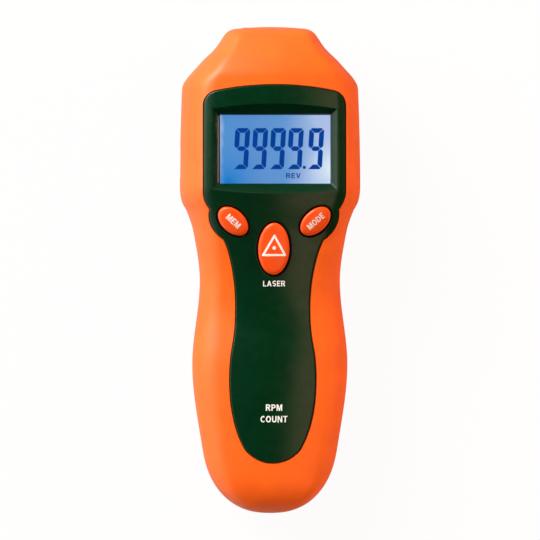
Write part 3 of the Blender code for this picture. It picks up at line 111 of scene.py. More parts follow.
half_width = flowing([
    (HEEL_Y, 19.3 * MM), (HEEL_Y + 16.1 * MM, 21.4 * MM), (BELLY_Y, GRIP_HALF),
    (WAIST_Y, WAIST_HALF), (CREASE_Y - FLARE, 25.1 * MM), (CREASE_Y - EASE, 27.15 * MM),
    (CREASE_Y, HEAD_HALF - BITE), (CREASE_Y + EASE, HEAD_HALF), (SHOULDER_Y, 28.9 * MM),
    (SHOULDER_Y + 8.6 * MM, 22.8 * MM), (SHOULDER_Y + 13.5 * MM, 17.9 * MM), (CORNER_Y, 14.9 * MM)])
front_height = flowing([
    (HEEL_Y, HEEL_HEIGHT), (BELLY_Y, GRIP_HEIGHT), (WAIST_Y - FLARE, WAIST_HEIGHT),
    (CREASE_Y - FLARE - EASE, WAIST_HEIGHT + 3.9 * MM), (CREASE_Y, HEAD_HEIGHT - 2 * BITE),
    (CREASE_Y + EASE, HEAD_HEIGHT), (SHOULDER_Y + EASE, HEAD_HEIGHT),
    (SHOULDER_Y + 2 * EASE, HEAD_HEIGHT - 2 * BITE), (NOSE_Y, NOSE_TOP)])
back_height = flowing([
    (HEEL_Y, 0.0), (SHOULDER_Y - EASE, 0.0), (SHOULDER_Y + EASE, 2 * BITE), (NOSE_Y, NOSE_UNDERSIDE)])
crown_radius = flowing([
    (HEEL_Y, 75 * MM), (WAIST_Y, 75 * MM), (CREASE_Y, 120 * MM), (NOSE_Y, 120 * MM)])
print("width at the waist:", round(2000 * float(half_width(WAIST_Y)), 1), "mm")


# %% Height of the front at any point
def rounded(t, power):
    """The fall of a rounded end: 1 where it starts and 0 at its tip."""
    return (1 - np.clip(t, 0.0, 1.0) ** power) ** (1 / power)


def front_skin(x, y):
    half = half_width(y)
    flat = FRONT_FLAT * half
    rise = rounded((np.abs(x) - flat) / (half - flat), SHOULDER_POWER)
    crown = np.square(x) / (2 * crown_radius(y))
    return PARTING + (front_height(y) - PARTING - crown) * rise


print("top of the head:", round(1000 * float(front_skin(0, 40 * MM)), 1), "mm")

# %% [markdown]
# ## Finishes
# Each finish is a small node tree on the Principled shader. Object coordinates keep a pattern fixed to
# its piece from every side. Noise at the size of the real spark-eroded mould texture gives the bump, a
# broader noise gives the slight drift in colour and gloss that handled plastic has.


# %% Helpers for node trees
def wire(tree, node, *first_sockets, **settings):
    """Sets sockets and properties by name, with _ for a space; another node's output is linked."""
    pairs = list(zip(node.inputs, first_sockets))
    for key, value in settings.items():
        socket = node.inputs.get(key.replace("_", " "))
        if socket is None:
            setattr(node, key, value)
        else:
            pairs.append((socket, value))
    for socket, value in pairs:
        if isinstance(value, bpy.types.NodeSocket):
            tree.links.new(value, socket)
        else:
            socket.default_value = value
    return node


def add(tree, kind, *first_sockets, **settings):
    return wire(tree, tree.nodes.new(kind), *first_sockets, **settings)


def calc(tree, operation, *values):
    return add(tree, "ShaderNodeMath", *values, operation=operation).outputs[0]


def shader_of(name, colour, roughness, **settings):
    """A new material, its tree and its Principled shader."""
    material = bpy.data.materials.new(name)
    material.use_nodes = True
    material.diffuse_color = (*colour, 1)
    tree = material.node_tree
    shader = wire(tree, tree.nodes["Principled BSDF"], Base_Color=(*colour, 1), Roughness=roughness,
                  **settings)
    return material, tree, shader


def own_place(tree):
    return add(tree, "ShaderNodeTexCoord").outputs["Object"]


def noise(tree, place, size, detail=3.0):
    """Noise whose features are about one size in metres."""
    return add(tree, "ShaderNodeTexNoise", Vector=place, Scale=1 / size, Detail=detail).outputs["Fac"]


def ramp(tree, source, stops):
    made = add(tree, "ShaderNodeValToRGB", Fac=source)
    elements = made.color_ramp.elements
    while len(elements) < len(stops):
        elements.new(0.5)
    for element, (at, colour) in zip(elements, stops):
        element.position = at
        element.color = (*colour, 1)
    return made.outputs["Color"]


def spread_of(tree, source, low, high):
    """Stretches the middle of a noise to a range."""
    return add(tree, "ShaderNodeMapRange", Value=source, From_Min=0.3, From_Max=0.7, To_Min=low,
               To_Max=high).outputs["Result"]


def bump_of(tree, source, strength, distance):
    return add(tree, "ShaderNodeBump", Height=source, Strength=strength, Distance=distance).outputs["Normal"]


def moulded(name, colour, roughness, grain=0.28 * MM, depth=0.012 * MM, drift=0.06, **settings):
    """Moulded plastic: a fine grain, a slow drift of colour, and gloss that varies with handling."""
    material, tree, shader = shader_of(name, colour, roughness, **settings)
    place = own_place(tree)
    darker = tuple(c * (1 - drift) for c in colour)
    lighter = tuple(min(c * (1 + drift), 1) for c in colour)
    handled = noise(tree, place, 2.6 * MM, 4.0)
    wire(tree, shader,
         Base_Color=ramp(tree, noise(tree, place, 9 * MM, 2.0), [(0.3, darker), (0.7, lighter)]),
         Roughness=spread_of(tree, handled, roughness - 0.035, roughness + 0.045),
         Normal=bump_of(tree, noise(tree, place, grain, 2.0), 0.55, depth))
    return material


print("helpers ready")

# %% The plastics
orange = moulded("orange_case_plastic", (0.96, 0.130, 0.005), 0.43)
orange_back = moulded("orange_back_plastic", (0.96, 0.130, 0.005), 0.44, grain=0.34 * MM)
green = moulded("dark_green_panel_plastic", (0.0003, 0.024, 0.0075), 0.22,
                grain=0.36 * MM, depth=0.006 * MM, drift=0.10, Specular_IOR_Level=0.4)
key_orange = moulded("orange_key_plastic", (0.95, 0.088, 0.006), 0.30, grain=0.5 * MM,
                     depth=0.004 * MM, drift=0.04)
black = moulded("black_plastic", (0.018, 0.018, 0.019), 0.42)
white = moulded("white_diffuser", (0.80, 0.80, 0.78), 0.5, drift=0.02)
rubber = moulded("contact_rubber", (0.52, 0.27, 0.22), 0.65)
# A pale colour used only for a painted highlight: the thin strip at the display's left edge.
edge_highlight_paint = moulded("painted_edge_highlight", (0.84, 0.74, 0.62), 0.6)
red_lead = moulded("red_lead_skin", (0.55, 0.015, 0.012), 0.42, grain=0.8 * MM)
black_lead = moulded("black_lead_skin", (0.02, 0.02, 0.02), 0.42, grain=0.8 * MM)
print("plastics:", [m.name for m in (orange, green, key_orange, black)])

# %% [markdown]
# White print is a thin coat of ink. It is nearly flat, with a faint unevenness where the screen left it
# thinner.

# %% Ink, metals and glass
ink = moulded("white_ink", (0.90, 0.94, 0.97), 0.5, grain=0.2 * MM, depth=0.004 * MM, drift=0.03)


def metal(name, colour, roughness, along=(1, 1, 1)):
    """Bare metal with fine marks; a stretched noise turns them into brushing."""
    material, tree, shader = shader_of(name, colour, roughness, Metallic=1.0)
    stretch = add(tree, "ShaderNodeMapping", Vector=own_place(tree), Scale=along)
    marks = noise(tree, stretch.outputs["Vector"], MM / 3, 4.0)
    wire(tree, shader, Roughness=spread_of(tree, marks, roughness - 0.08, roughness + 0.12),
         Normal=bump_of(tree, marks, 0.4, 0.006 * MM))
    return material


steel = metal("plated_steel", (0.62, 0.62, 0.61), 0.28)
can_metal = metal("can_metal", (0.70, 0.70, 0.69), 0.22, along=(1, 0.1, 1))
barrel = metal("anodised_barrel", (0.035, 0.035, 0.04), 0.34, along=(1, 0.06, 1))
jacket = moulded("battery_jacket", (0.055, 0.062, 0.075), 0.26, grain=1.2 * MM, depth=0.01 * MM,
                 Coat_Weight=0.6, Coat_Roughness=0.12)


def glass(name, colour, roughness, ior):
    """Clear moulded glass or acrylic with a trace of haze."""
    material, tree, shader = shader_of(name, colour, roughness, IOR=ior, Transmission_Weight=1.0)
    haze = noise(tree, own_place(tree), 6 * MM)
    wire(tree, shader, Roughness=spread_of(tree, haze, roughness, roughness + 0.03))
    return material


window_clear = glass("clear_window_plastic", (0.97, 0.98, 0.99), 0.02, 1.12)
lens_glass = glass("lens_glass", (0.93, 0.95, 0.98), 0.01, 1.5)
smoked = moulded("smoked_red_plastic", (0.035, 0.004, 0.007), 0.10, grain=2.0 * MM,
                 depth=0.003 * MM, Coat_Weight=0.5, Coat_Roughness=0.04)
print("metals and glass ready")

# %% [markdown]
# A circuit board is green solder resist over copper. The copper tracks show as slightly lighter lines,
# which a stepped brick pattern stands in for.


# %% Circuit board
def board_finish():
    material, tree, shader = shader_of("solder_resist", (0.01, 0.12, 0.04), 0.3)
    tracks = add(tree, "ShaderNodeTexBrick", Vector=own_place(tree), Scale=260.0, Mortar_Size=0.035,
                 Color1=(0.008, 0.11, 0.035, 1), Color2=(0.010, 0.13, 0.045, 1),
                 Mortar=(0.03, 0.24, 0.08, 1)).outputs
    wire(tree, shader, Base_Color=tracks["Color"], Normal=bump_of(tree, tracks["Fac"], 0.5, 0.03 * MM))
    return material


solder_resist = board_finish()
print("board:", solder_resist.name)

# %% [markdown]
# ## Case shells
# Both shells come from one loft. A ring is a section at one place along the case: two shoulders and a
# crowned flat. Rings sit close together, so the surface is smooth without subdivision. Half a loft is
# closed by a flat face at the parting line, with a small roll at that edge, as a moulded lip has.


# %% Rings of the loft
def rows(spacing, heel_rows, corner_rows):
    """Places of the rings: y, scale across, scale in depth, and how far the nose corner draws in."""
    start = HEEL_Y + HEEL_ROUND_ACROSS
    made = []
    for k in range(heel_rows, 0, -1):
        reach = math.sin(math.radians(88.5) * k / heel_rows)
        y = start - HEEL_ROUND_ACROSS * reach
        deep = rounded((HEEL_Y + HEEL_ROUND_DEEP - y) / HEEL_ROUND_DEEP, HEEL_POWER)
        made.append((y, float(rounded(reach, HEEL_POWER)), float(deep), 0.0))
    count = round((CORNER_Y - start) / spacing)
    made += [(start + (CORNER_Y - start) * k / count, 1.0, 1.0, 0.0) for k in range(count + 1)]
    for angle in np.linspace(NOSE_LEAN, math.pi / 2, corner_rows + 1)[1:]:
        drawn_in = NOSE_CORNER * (math.cos(NOSE_LEAN) - math.cos(angle))
        made.append((CORNER_Y + NOSE_CORNER * (math.sin(angle) - math.sin(NOSE_LEAN)), 1.0, 1.0, drawn_in))
    for share in (0.85, 0.6, 0.35, 0.12):
        made.append((NOSE_Y - NOSE_DOME * share ** 2, share, share, drawn_in))
    return made


def thumb_dent(y, z):
    """How far the shallow thumb notch draws in the left flank of the head."""
    def fade(distance, half, edge):
        t = min(max((half - abs(distance)) / edge, 0.0), 1.0)
        return t * t * (3 - 2 * t)
    return 0.38 * MM * fade(y - 35.4 * MM, 5.2 * MM, 1.2 * MM) * fade(z - PARTING, 6.5 * MM, 3 * MM)


def section(row, wall, upper, steps, across_steps):
    """Points of one half section from +X to -X, starting and ending at the parting line."""
    y, across, deep, drawn_in = row
    outer = (float(half_width(y)) - drawn_in) * across
    half = (float(half_width(y)) - drawn_in - wall) * across
    if upper:
        tall = (float(front_height(y)) - PARTING - drawn_in - wall) * deep
        flat, bend = FRONT_FLAT * outer, deep / (2 * float(crown_radius(y)))
    else:
        tall = (PARTING - float(back_height(y)) - drawn_in - wall) * deep
        flat, bend = BACK_FLAT * outer, 0.0
    lift = SEAM / 2
    roll = min(SEAM_ROLL, 0.3 * half)
    side = [(half - roll, lift / max(tall, 1e-6)), (half - 0.3 * roll, (lift + 0.3 * roll) / tall)]
    for k in range(1, steps):
        angle = math.pi / 2 * k / steps
        x = flat + (half - flat) * math.cos(angle) ** (2 / SHOULDER_POWER)
        side.append((x, max(math.sin(angle) ** (2 / SHOULDER_POWER), (lift + roll) / tall)))
    line = side + [(flat * (1 - 2 * k / across_steps), 1.0) for k in range(across_steps + 1)]
    line += [(-x, rise) for x, rise in reversed(side)]
    flat_y = y * (NOSE_Y - wall) / NOSE_Y
    sign = 1 if upper else -1
    points = []
    for x, rise in line:
        z = PARTING + sign * (tall - bend * x * x) * rise
        dent = thumb_dent(y, z) if wall == 0 and x < 0 else 0.0
        points.append((x + dent, flat_y, z))
    return points


print("rings in a fine loft:", len(rows(0.9 * MM, 30, 8)))


# %% Meshes from rings
def in_scene(name, data):
    item = bpy.data.objects.new(name, data)
    bpy.context.scene.collection.objects.link(item)
    return item


def mesh_from(shape, name, angle=32):
    """Closes a bmesh into an object with smooth faces and sharp creases."""
    bmesh.ops.recalc_face_normals(shape, faces=shape.faces)
    mesh = bpy.data.meshes.new(name)
    shape.to_mesh(mesh)
    shape.free()
    return smooth(in_scene(name, mesh), angle)


def smooth(item, angle=32):
    item.data.shade_smooth()
    item.data.set_sharp_from_angle(angle=math.radians(angle))
    return item


def rings_of(shape, rings):
    """Rows of vertices that each close on themselves, with faces from one row to the next."""
    made = [[shape.verts.new(p) for p in ring] for ring in rings]
    for near, far in zip(made, made[1:]):
        for k in range(len(near)):
            after = (k + 1) % len(near)
            shape.faces.new((near[k], near[after], far[after], far[k]))
    return made


def loft(name, rings):
    """A closed solid through rings of points."""
    shape = bmesh.new()
    made = rings_of(shape, rings)
    for end in (made[0], made[-1]):
        shape.faces.new(end)
    bmesh.ops.triangulate(shape, faces=shape.faces)
    return mesh_from(shape, name)


def half_loft(name, wall, upper, spacing=0.9 * MM, heel_rows=30, corner_rows=8, steps=18, across=26):
    """One half of the case, drawn in by a wall."""
    return loft(name, [section(row, wall, upper, steps, across)
                       for row in rows(spacing, heel_rows, corner_rows)])


def whole_loft(name, wall):
    """The whole case drawn in by a wall, as a cutter of moderate fineness."""
    rings = []
    for row in rows(2.4 * MM, 14, 4):
        top, low = (section(row, wall, upper, 10, 12)[1:-1] for upper in (True, False))
        rings.append(top + low[::-1])
    return loft(name, rings)


def block(name, low, high):
    shape = bmesh.new()
    low, high = Vector(low), Vector(high)
    size = Matrix.Diagonal((*(high - low), 1.0))
    bmesh.ops.create_cube(shape, size=1.0, matrix=Matrix.Translation((low + high) / 2) @ size)
    return mesh_from(shape, name)


def bar(name, start, end, radius, sides=48):
    """A straight round bar between two points."""
    start, end = Vector(start), Vector(end)
    turn = (end - start).to_track_quat("Z", "Y").to_matrix().to_4x4()
    shape = bmesh.new()
    bmesh.ops.create_cone(shape, cap_ends=True, segments=sides, radius1=radius, radius2=radius,
                          depth=(end - start).length,
                          matrix=Matrix.Translation((start + end) / 2) @ turn)
    return mesh_from(shape, name)


def prism(name, outline, low, high):
    """A flat outline given a height."""
    shape = bmesh.new()
    bottom, top = rings_of(shape, [[(x, y, z) for x, y in outline] for z in (low, high)])
    shape.faces.new(top)
    shape.faces.new(bottom[::-1])
    bmesh.ops.triangulate(shape, faces=shape.faces, ngon_method="EAR_CLIP")
    return mesh_from(shape, name)


def applied(item):
    """Puts what the modifiers of an item make in place of its mesh."""
    evaluated = item.evaluated_get(bpy.context.evaluated_depsgraph_get())
    mesh = bpy.data.meshes.new_from_object(evaluated)
    item.modifiers.clear()
    item.data = mesh
    return item


def carve(item, operation, *others):
    """Joins, cuts or keeps what is shared with other solids."""
    for other in others:
        step = item.modifiers.new("carve", "BOOLEAN")
        step.operation, step.solver, step.object = operation, "MANIFOLD", other
        applied(item)
        bpy.data.objects.remove(other)
    return item


def finished(item, material, body, slot, *replaced):
    """Gives a piece its finish, its body and the CAD nodes that it stands for; its slot is not used."""
    item.data.materials.clear()
    item.data.materials.append(material)
    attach(item, body)
    if replaced:
        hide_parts(*replaced)
    triangles = sum(len(p.vertices) - 2 for p in item.data.polygons)
    print(f"{item.name}: {triangles} triangles on {body}")
    return item


# %% [markdown]
# ## Outline of the dark panel
# The panel is a head with an arched top, a waisted strip down the grip and a round pod about each small
# key. The four outlines are drawn separately and joined: a constrained triangulation of all four finds
# their crossings, and the edges with the panel on only one side are the outline of the whole.

# %% Sizes of the panel and keys
PANEL_PROUD, PANEL_THICKNESS = 0.2 * MM, 1.2 * MM
DISPLAY_Y, DISPLAY_HALF_X, DISPLAY_HALF_Y = 39.7 * MM, 18.8 * MM, 11.45 * MM
RECESS_LEVEL, RECESS_LIP = 38.5 * MM, 0.8 * MM
LCD_TOP = 36.1 * MM
KEY_GAP, KEY_PROUD, POD_MARGIN = 0.5 * MM, 1.4 * MM, 2.8 * MM
KEYS = {
    "mem": ((-13.56 * MM, 16 * MM), 5.8 * MM, 3.7 * MM, math.radians(-42)),
    "mode": ((13.56 * MM, 16 * MM), 5.8 * MM, 3.7 * MM, math.radians(42)),
    "laser": ((0.0, 6.95 * MM), 8.55 * MM, 5.15 * MM, math.pi / 2),
}


# %% Outlines as points
def ellipse(centre, half_long, half_short, turn, sides=96):
    angle = np.linspace(0, 2 * math.pi, sides, endpoint=False)
    along, beside = half_long * np.cos(angle), half_short * np.sin(angle)
    return np.stack([centre[0] + along * math.cos(turn) - beside * math.sin(turn),
                     centre[1] + along * math.sin(turn) + beside * math.cos(turn)], 1)


def arc(centre, radius, start, end, steps):
    angle = np.radians(np.linspace(start, end, steps + 1))
    return np.stack([centre[0] + radius * np.cos(angle), centre[1] + radius * np.sin(angle)], 1)


def rectangle(low_x, high_x, low_y, high_y):
    return [(low_x, low_y), (high_x, low_y), (high_x, high_y), (low_x, high_y)]


def round_rectangle(half_x, low_y, high_y, corner, steps=8):
    x, low, high = half_x - corner, low_y + corner, high_y - corner
    return np.concatenate([arc(centre, corner, 90 * k, 90 * k + 90, steps)
                           for k, centre in enumerate([(x, high), (-x, high), (-x, low), (x, low)])])


def key_outline(key, grown=0.0, share=1.0):
    """The outline of a key, let out by a distance or drawn in to a share of its size."""
    centre, half_long, half_short, turn = KEYS[key]
    return ellipse(centre, half_long * share + grown, half_short * share + grown, turn)


def head_outline(extra):
    half, top, corner, low_corner = (size * MM + extra for size in (23.35, 60.75, 5.0, 9.0))
    radius = 97 * MM + extra
    reach, centre_y = half - corner, top - radius
    corner_y = centre_y + math.sqrt((radius - corner) ** 2 - reach ** 2)
    tilt = math.degrees(math.atan2(corner_y - centre_y, reach))
    low = 17 * MM - extra
    return np.concatenate([
        arc((reach, corner_y), corner, 0, tilt, 12),
        arc((0, centre_y), radius, tilt, 180 - tilt, 50)[1:-1],
        arc((-reach, corner_y), corner, 180 - tilt, 180, 12),
        arc((low_corner - half, low + low_corner), low_corner, 180, 270, 16),
        arc((half - low_corner, low + low_corner), low_corner, 270, 360, 16)])


def grip_outline(extra):
    """The strip down the grip: measured half widths, then part of an ellipse for the foot."""
    foot_y, foot_half, foot_deep, foot_starts = -50 * MM, 12.2 * MM, 13.4 * MM, -58.8 * MM
    half = flowing([(y * MM, width * MM) for y, width in (
        (-58.8, 9.2), (-56.1, 10.52), (-53.5, 11.54), (-49.5, 12.69), (-45.6, 13.46), (-41.6, 13.93),
        (-36, 14.15), (-29.8, 13.89), (-25.8, 13.33), (-21.9, 12.69), (-17.9, 12.28), (-12, 12.12),
        (-6.1, 12.39), (-2.1, 12.89), (1.8, 13.61), (5.8, 14.63), (9.5, 16.1), (12, 17.6))])
    y = np.linspace(20 * MM, foot_starts, 110)
    right = np.stack([half(y) + extra, y], 1)
    angle = np.linspace(math.asin((foot_y - foot_starts) / foot_deep), math.pi / 2, 26)[1:-1]
    foot = np.stack([(foot_half + extra) * np.cos(angle), foot_y - (foot_deep + extra) * np.sin(angle)], 1)
    right = np.concatenate([right, foot])
    left = right[::-1] * (-1, 1)
    return np.concatenate([right, [(0.0, foot_y - foot_deep - extra)], left])


def inside(points, loop):
    """Whether each point lies inside a closed outline."""
    x, y = points[:, 0, None], points[:, 1, None]
    x0, y0 = loop[:, 0], loop[:, 1]
    x1, y1 = np.roll(x0, -1), np.roll(y0, -1)
    level = np.where(y1 == y0, 1e-12, y1 - y0)
    crosses = ((y0 > y) != (y1 > y)) & (x < (x1 - x0) * (y - y0) / level + x0)
    return crosses.sum(1) % 2 == 1


def filled(loops, holes=(), lines=(), free=()):
    """Flat triangles over what lies in any of the loops and in no hole, along lines and free points."""
    points, edges = [], []
    for loop in [*loops, *holes, *lines]:
        start, count = len(points), len(loop)
        points += list(loop)
        edges += [(start + k, start + (k + 1) % count) for k in range(count)]
    flat = [Vector(p) for p in np.array(points + list(free)) * 1000]
    verts, _, faces, *_ = geometry.delaunay_2d_cdt(flat, edges, [], 0, 1e-4)
    verts, faces = np.array([tuple(v) for v in verts]) / 1000, np.array(faces)
    middle = verts[faces].mean(1)
    keep = np.any([inside(middle, loop) for loop in loops], axis=0)
    for hole in holes:
        keep &= ~inside(middle, hole)
    return verts, faces[keep]


def border(faces):
    """The directed edges that have a face on one side only."""
    directed = {(a, b) for f in faces.tolist() for a, b in zip(f, f[1:] + f[:1])}
    return [(a, b) for a, b in sorted(directed) if (b, a) not in directed]


def union(loops):
    """The outline of several overlapping outlines."""
    verts, faces = filled(loops)
    after = dict(border(faces))
    walk = [min(after)]
    while after[walk[-1]] != walk[0]:
        walk.append(after[walk[-1]])
    return verts[walk]


def panel_outline(extra):
    pods = [key_outline(key, POD_MARGIN + extra) for key in ("mem", "mode")]
    return union([head_outline(extra), grip_outline(extra), *pods])


outline = panel_outline(0.0)
print("panel outline:", len(outline), "points")

# %% [markdown]
# ## Making the shells
# The front shell is the fine upper half, hollowed by the case drawn in by its wall. Its pocket for the
# panel goes 1.5 mm deep. The openings for the display and the keys go right through below the panel.

# %% Front shell
front = half_loft("case_front", 0.0, True)
carve(front, "DIFFERENCE", whole_loft("cavity", WALL))
pocket = prism("pocket", panel_outline(CLEARANCE), PARTING + 2 * MM, ABOVE_ALL)
carve(pocket, "DIFFERENCE", whole_loft("pocket floor", PANEL_THICKNESS + CLEARANCE))
carve(front, "DIFFERENCE", pocket)
HOLE_HALF_X, HOLE_HALF_Y, HOLE_LOW, KEY_HOLE_LOW = 22.1 * MM, 16 * MM, 36 * MM, 28 * MM
carve(front, "DIFFERENCE", block("display hole", (-HOLE_HALF_X, DISPLAY_Y - HOLE_HALF_Y, HOLE_LOW),
                                 (HOLE_HALF_X, DISPLAY_Y + HOLE_HALF_Y, ABOVE_ALL)))
for key in KEYS:
    carve(front, "DIFFERENCE", prism("key hole", key_outline(key, 3 * KEY_GAP), KEY_HOLE_LOW, ABOVE_ALL))

LASER_X, LASER_RADIUS, SENSOR_X, SENSOR_RADIUS = -5.75 * MM, 3.25 * MM, 5.2 * MM, 4.2 * MM


def nose_bores():
    return [bar("bore", (x, NOSE_Y - 10 * MM, PARTING), (x, NOSE_Y + 3 * MM, PARTING),
                radius + CLEARANCE) for x, radius in ((LASER_X, LASER_RADIUS), (SENSOR_X, SENSOR_RADIUS))]


carve(front, "DIFFERENCE", *nose_bores())
finished(smooth(front), orange, "case", "orange_plastic", "front_shell")

# %% [markdown]
# The back shell shows its inside when the battery cover is open, so it keeps its bay walls, the screw
# bosses and the counterbores, all bounded by the case's own skin.

# %% Back shell
CASE_SCREWS = [(-18 * MM, 58.5 * MM), (18 * MM, 58.5 * MM), (-15.2 * MM, -7.9 * MM),
               (15.2 * MM, -7.9 * MM), (0.0, -71.4 * MM)]
COVER_HALF, COVER_LOW, COVER_HIGH, COVER_CORNER = 14.7 * MM, -66.8 * MM, -14.3 * MM, 3 * MM
BAY_HALF, BAY_LOW, BAY_HIGH, BAY_WALL, BAY_TOP = 13.55 * MM, -66.3 * MM, -11.7 * MM, 2.4 * MM, 17 * MM
SEAT_LEVEL, SCREW_RADIUS, HEAD_RADIUS, BOSS_RADIUS = 15 * MM, 1.2 * MM, 2.5 * MM, 4 * MM
BAY_FLOOR, INSIDE_TOP = 2.55 * MM, 22 * MM

back = half_loft("case_back", 0.0, False)
carve(back, "DIFFERENCE", whole_loft("cavity", WALL))
built_on = [bar("boss", (x, y, -MM), (x, y, PARTING - SEAM / 2), BOSS_RADIUS) for x, y in CASE_SCREWS]
built_on.append(block("bay", (-BAY_HALF - BAY_WALL, BAY_LOW - BAY_WALL, -MM),
                      (BAY_HALF + BAY_WALL, BAY_HIGH + BAY_WALL, BAY_TOP)))
for solid in built_on:
    bound = half_loft("bound", WALL - BITE, False, 3 * MM, 10, 3, 8, 8)
    carve(back, "UNION", carve(solid, "INTERSECT", bound))
aperture = prism("aperture", round_rectangle(COVER_HALF + CLEARANCE, COVER_LOW - CLEARANCE,
                                             COVER_HIGH + CLEARANCE, COVER_CORNER + CLEARANCE),
                 BELOW_ALL, BAY_TOP)
carve(aperture, "DIFFERENCE", whole_loft("seat", 2.6 * MM))
carve(back, "DIFFERENCE", aperture,
      block("room", (-BAY_HALF, BAY_LOW, BAY_FLOOR), (BAY_HALF, BAY_HIGH, INSIDE_TOP)))
for x, y in CASE_SCREWS:
    carve(back, "DIFFERENCE",
          bar("sink", (x, y, BELOW_ALL), (x, y, SEAT_LEVEL), HEAD_RADIUS + CLEARANCE),
          bar("hole", (x, y, SEAT_LEVEL - 2 * MM), (x, y, INSIDE_TOP), SCREW_RADIUS + CLEARANCE, 24))
carve(back, "DIFFERENCE", *nose_bores())
finished(smooth(back), orange_back, "case", "orange_plastic", "back_shell")

# %% [markdown]
# ## Front panel
# The panel's face is a height over a flat triangulation. Points lie close together along every edge
# that is rolled over and further apart on the open face, so each roll is real geometry. The display
# recess is the lower of two surfaces, the crowned face and four planes at 45 degrees, with the corner
# between them softened.


# %% Distances, and the height of the panel's face
def distance_to(points, loop):
    best = np.full(len(points), 1.0)
    for start, end in zip(loop, np.roll(loop, -1, axis=0)):
        run = end - start
        t = np.clip(((points - start) @ run) / max(run @ run, 1e-18), 0, 1)
        gap = points - start - t[:, None] * run
        best = np.minimum(best, np.sqrt((gap ** 2).sum(1)))
    return best


def soft_lower(a, b, size):
    """The lower of two heights, with the edge between them rounded."""
    mix = np.clip(0.5 + 0.5 * (b - a) / size, 0, 1)
    return b + (a - b) * mix - size * mix * (1 - mix)


def edge_roll(distance, radius):
    """How far a rolled edge falls at a distance from its outline."""
    short = np.clip(radius - distance, 0, radius)
    return radius - np.sqrt(radius ** 2 - short ** 2)


MITRE_ROLL, RIM_ROLL, EDGE_ROLL, OPENING_ROLL, HOLE_ROLL = (
    size * MM for size in (0.16, 0.14, 0.35, 0.15, 0.3))


def recess_planes(x, y):
    across = np.abs(x) - DISPLAY_HALF_X
    along = np.abs(y - DISPLAY_Y) - DISPLAY_HALF_Y
    return RECESS_LEVEL - soft_lower(-across, -along, MITRE_ROLL)


def panel_crown(x, y):
    return front_skin(x, y) + PANEL_PROUD


def rim_point(x, y, way):
    """Where the recess plane that starts at an opening point meets the crowned face."""
    reach = 1 * MM
    for _ in range(30):
        reach = float(panel_crown(x + way[0] * reach, y + way[1] * reach)) - RECESS_LEVEL
    return x + way[0] * reach, y + way[1] * reach


def recess_rim():
    made = []
    corners = [(1, -1), (1, 1), (-1, 1), (-1, -1)]
    for (ax, ay), (bx, by) in zip(corners, corners[1:] + corners[:1]):
        for t in np.linspace(0, 1, 41)[:-1]:
            x = (ax + (bx - ax) * t) * DISPLAY_HALF_X
            y = DISPLAY_Y + (ay + (by - ay) * t) * DISPLAY_HALF_Y
            way = ((ax + bx) / 2, (ay + by) / 2)
            if t == 0:
                way = (ax, ay)
            made.append(rim_point(x, y, way))
    return np.array(made)


rim = recess_rim()
opening = round_rectangle(DISPLAY_HALF_X, DISPLAY_Y - DISPLAY_HALF_Y, DISPLAY_Y + DISPLAY_HALF_Y,
                          0.5 * MM, 4)
key_holes = [key_outline(key, KEY_GAP) for key in KEYS]
print("recess rim spans", np.round((rim.max(0) - rim.min(0)) * 1000, 1), "mm")


# %% Triangulate the panel
def dense(loop, step):
    """The same outline with no stretch longer than a step."""
    loop, made = np.array(loop), []
    for start, end in zip(loop, np.roll(loop, -1, axis=0)):
        parts = max(1, int(np.ceil(np.linalg.norm(end - start) / step)))
        made += [start + (end - start) * k / parts for k in range(parts)]
    return np.array(made)


def beside(loop, distance):
    """Points at a distance to one side of an outline, a free string with no edges."""
    run = np.roll(loop, -1, axis=0) - np.roll(loop, 1, axis=0)
    run /= np.maximum(np.linalg.norm(run, axis=1), 1e-9)[:, None]
    return loop + np.stack([-run[:, 1], run[:, 0]], 1) * distance


def strings(loops, *distances):
    """Points on both sides of some outlines, at each distance in millimetres."""
    return [beside(loop, side * distance * MM) for loop in loops for distance in distances
            for side in (-1, 1)]


def mitre_points():
    """Close rows of points along the four lines where the recess planes meet."""
    return np.array([(side_x * (DISPLAY_HALF_X + reach + off),
                      DISPLAY_Y + side_y * (DISPLAY_HALF_Y + reach - off))
                     for side_x in (-1, 1) for side_y in (-1, 1)
                     for reach in np.arange(0.3 * MM, 3.6 * MM, 0.2 * MM)
                     for off in (-0.22 * MM, -0.09 * MM, 0.0, 0.09 * MM, 0.22 * MM)])


outer, opening, rim = dense(outline, 0.7 * MM), dense(opening, 0.8 * MM), dense(rim, 0.8 * MM)
holes = [opening, *key_holes]
free = strings([outer, *holes], 0.04, 0.11, 0.2, 0.35, 0.6) + strings([rim], 0.05, 0.12, 0.28, 0.55)
free.append(mitre_points())
pitch = 1.1 * MM
grid_x, grid_y = np.meshgrid(np.arange(-24 * MM, 24 * MM, pitch), np.arange(-64 * MM, 62 * MM, pitch))
grid_x = grid_x + (np.arange(len(grid_x)) % 2)[:, None] * pitch / 2
grid = np.stack([grid_x.ravel(), grid_y.ravel()], 1)
to_lines = np.min([distance_to(grid, loop) for loop in [outer, rim, *holes]], axis=0)
free.append(grid[to_lines > 0.9 * MM])
free = np.concatenate(free)
free = free[inside(free, outer) & ~np.any([inside(free, hole) for hole in holes], axis=0)]
near = np.min([distance_to(free, loop) for loop in [outer, *holes]], axis=0)
free = free[near > 0.036 * MM]

verts, faces = filled([outer], holes, [rim], free)
print("panel face:", len(faces), "triangles")

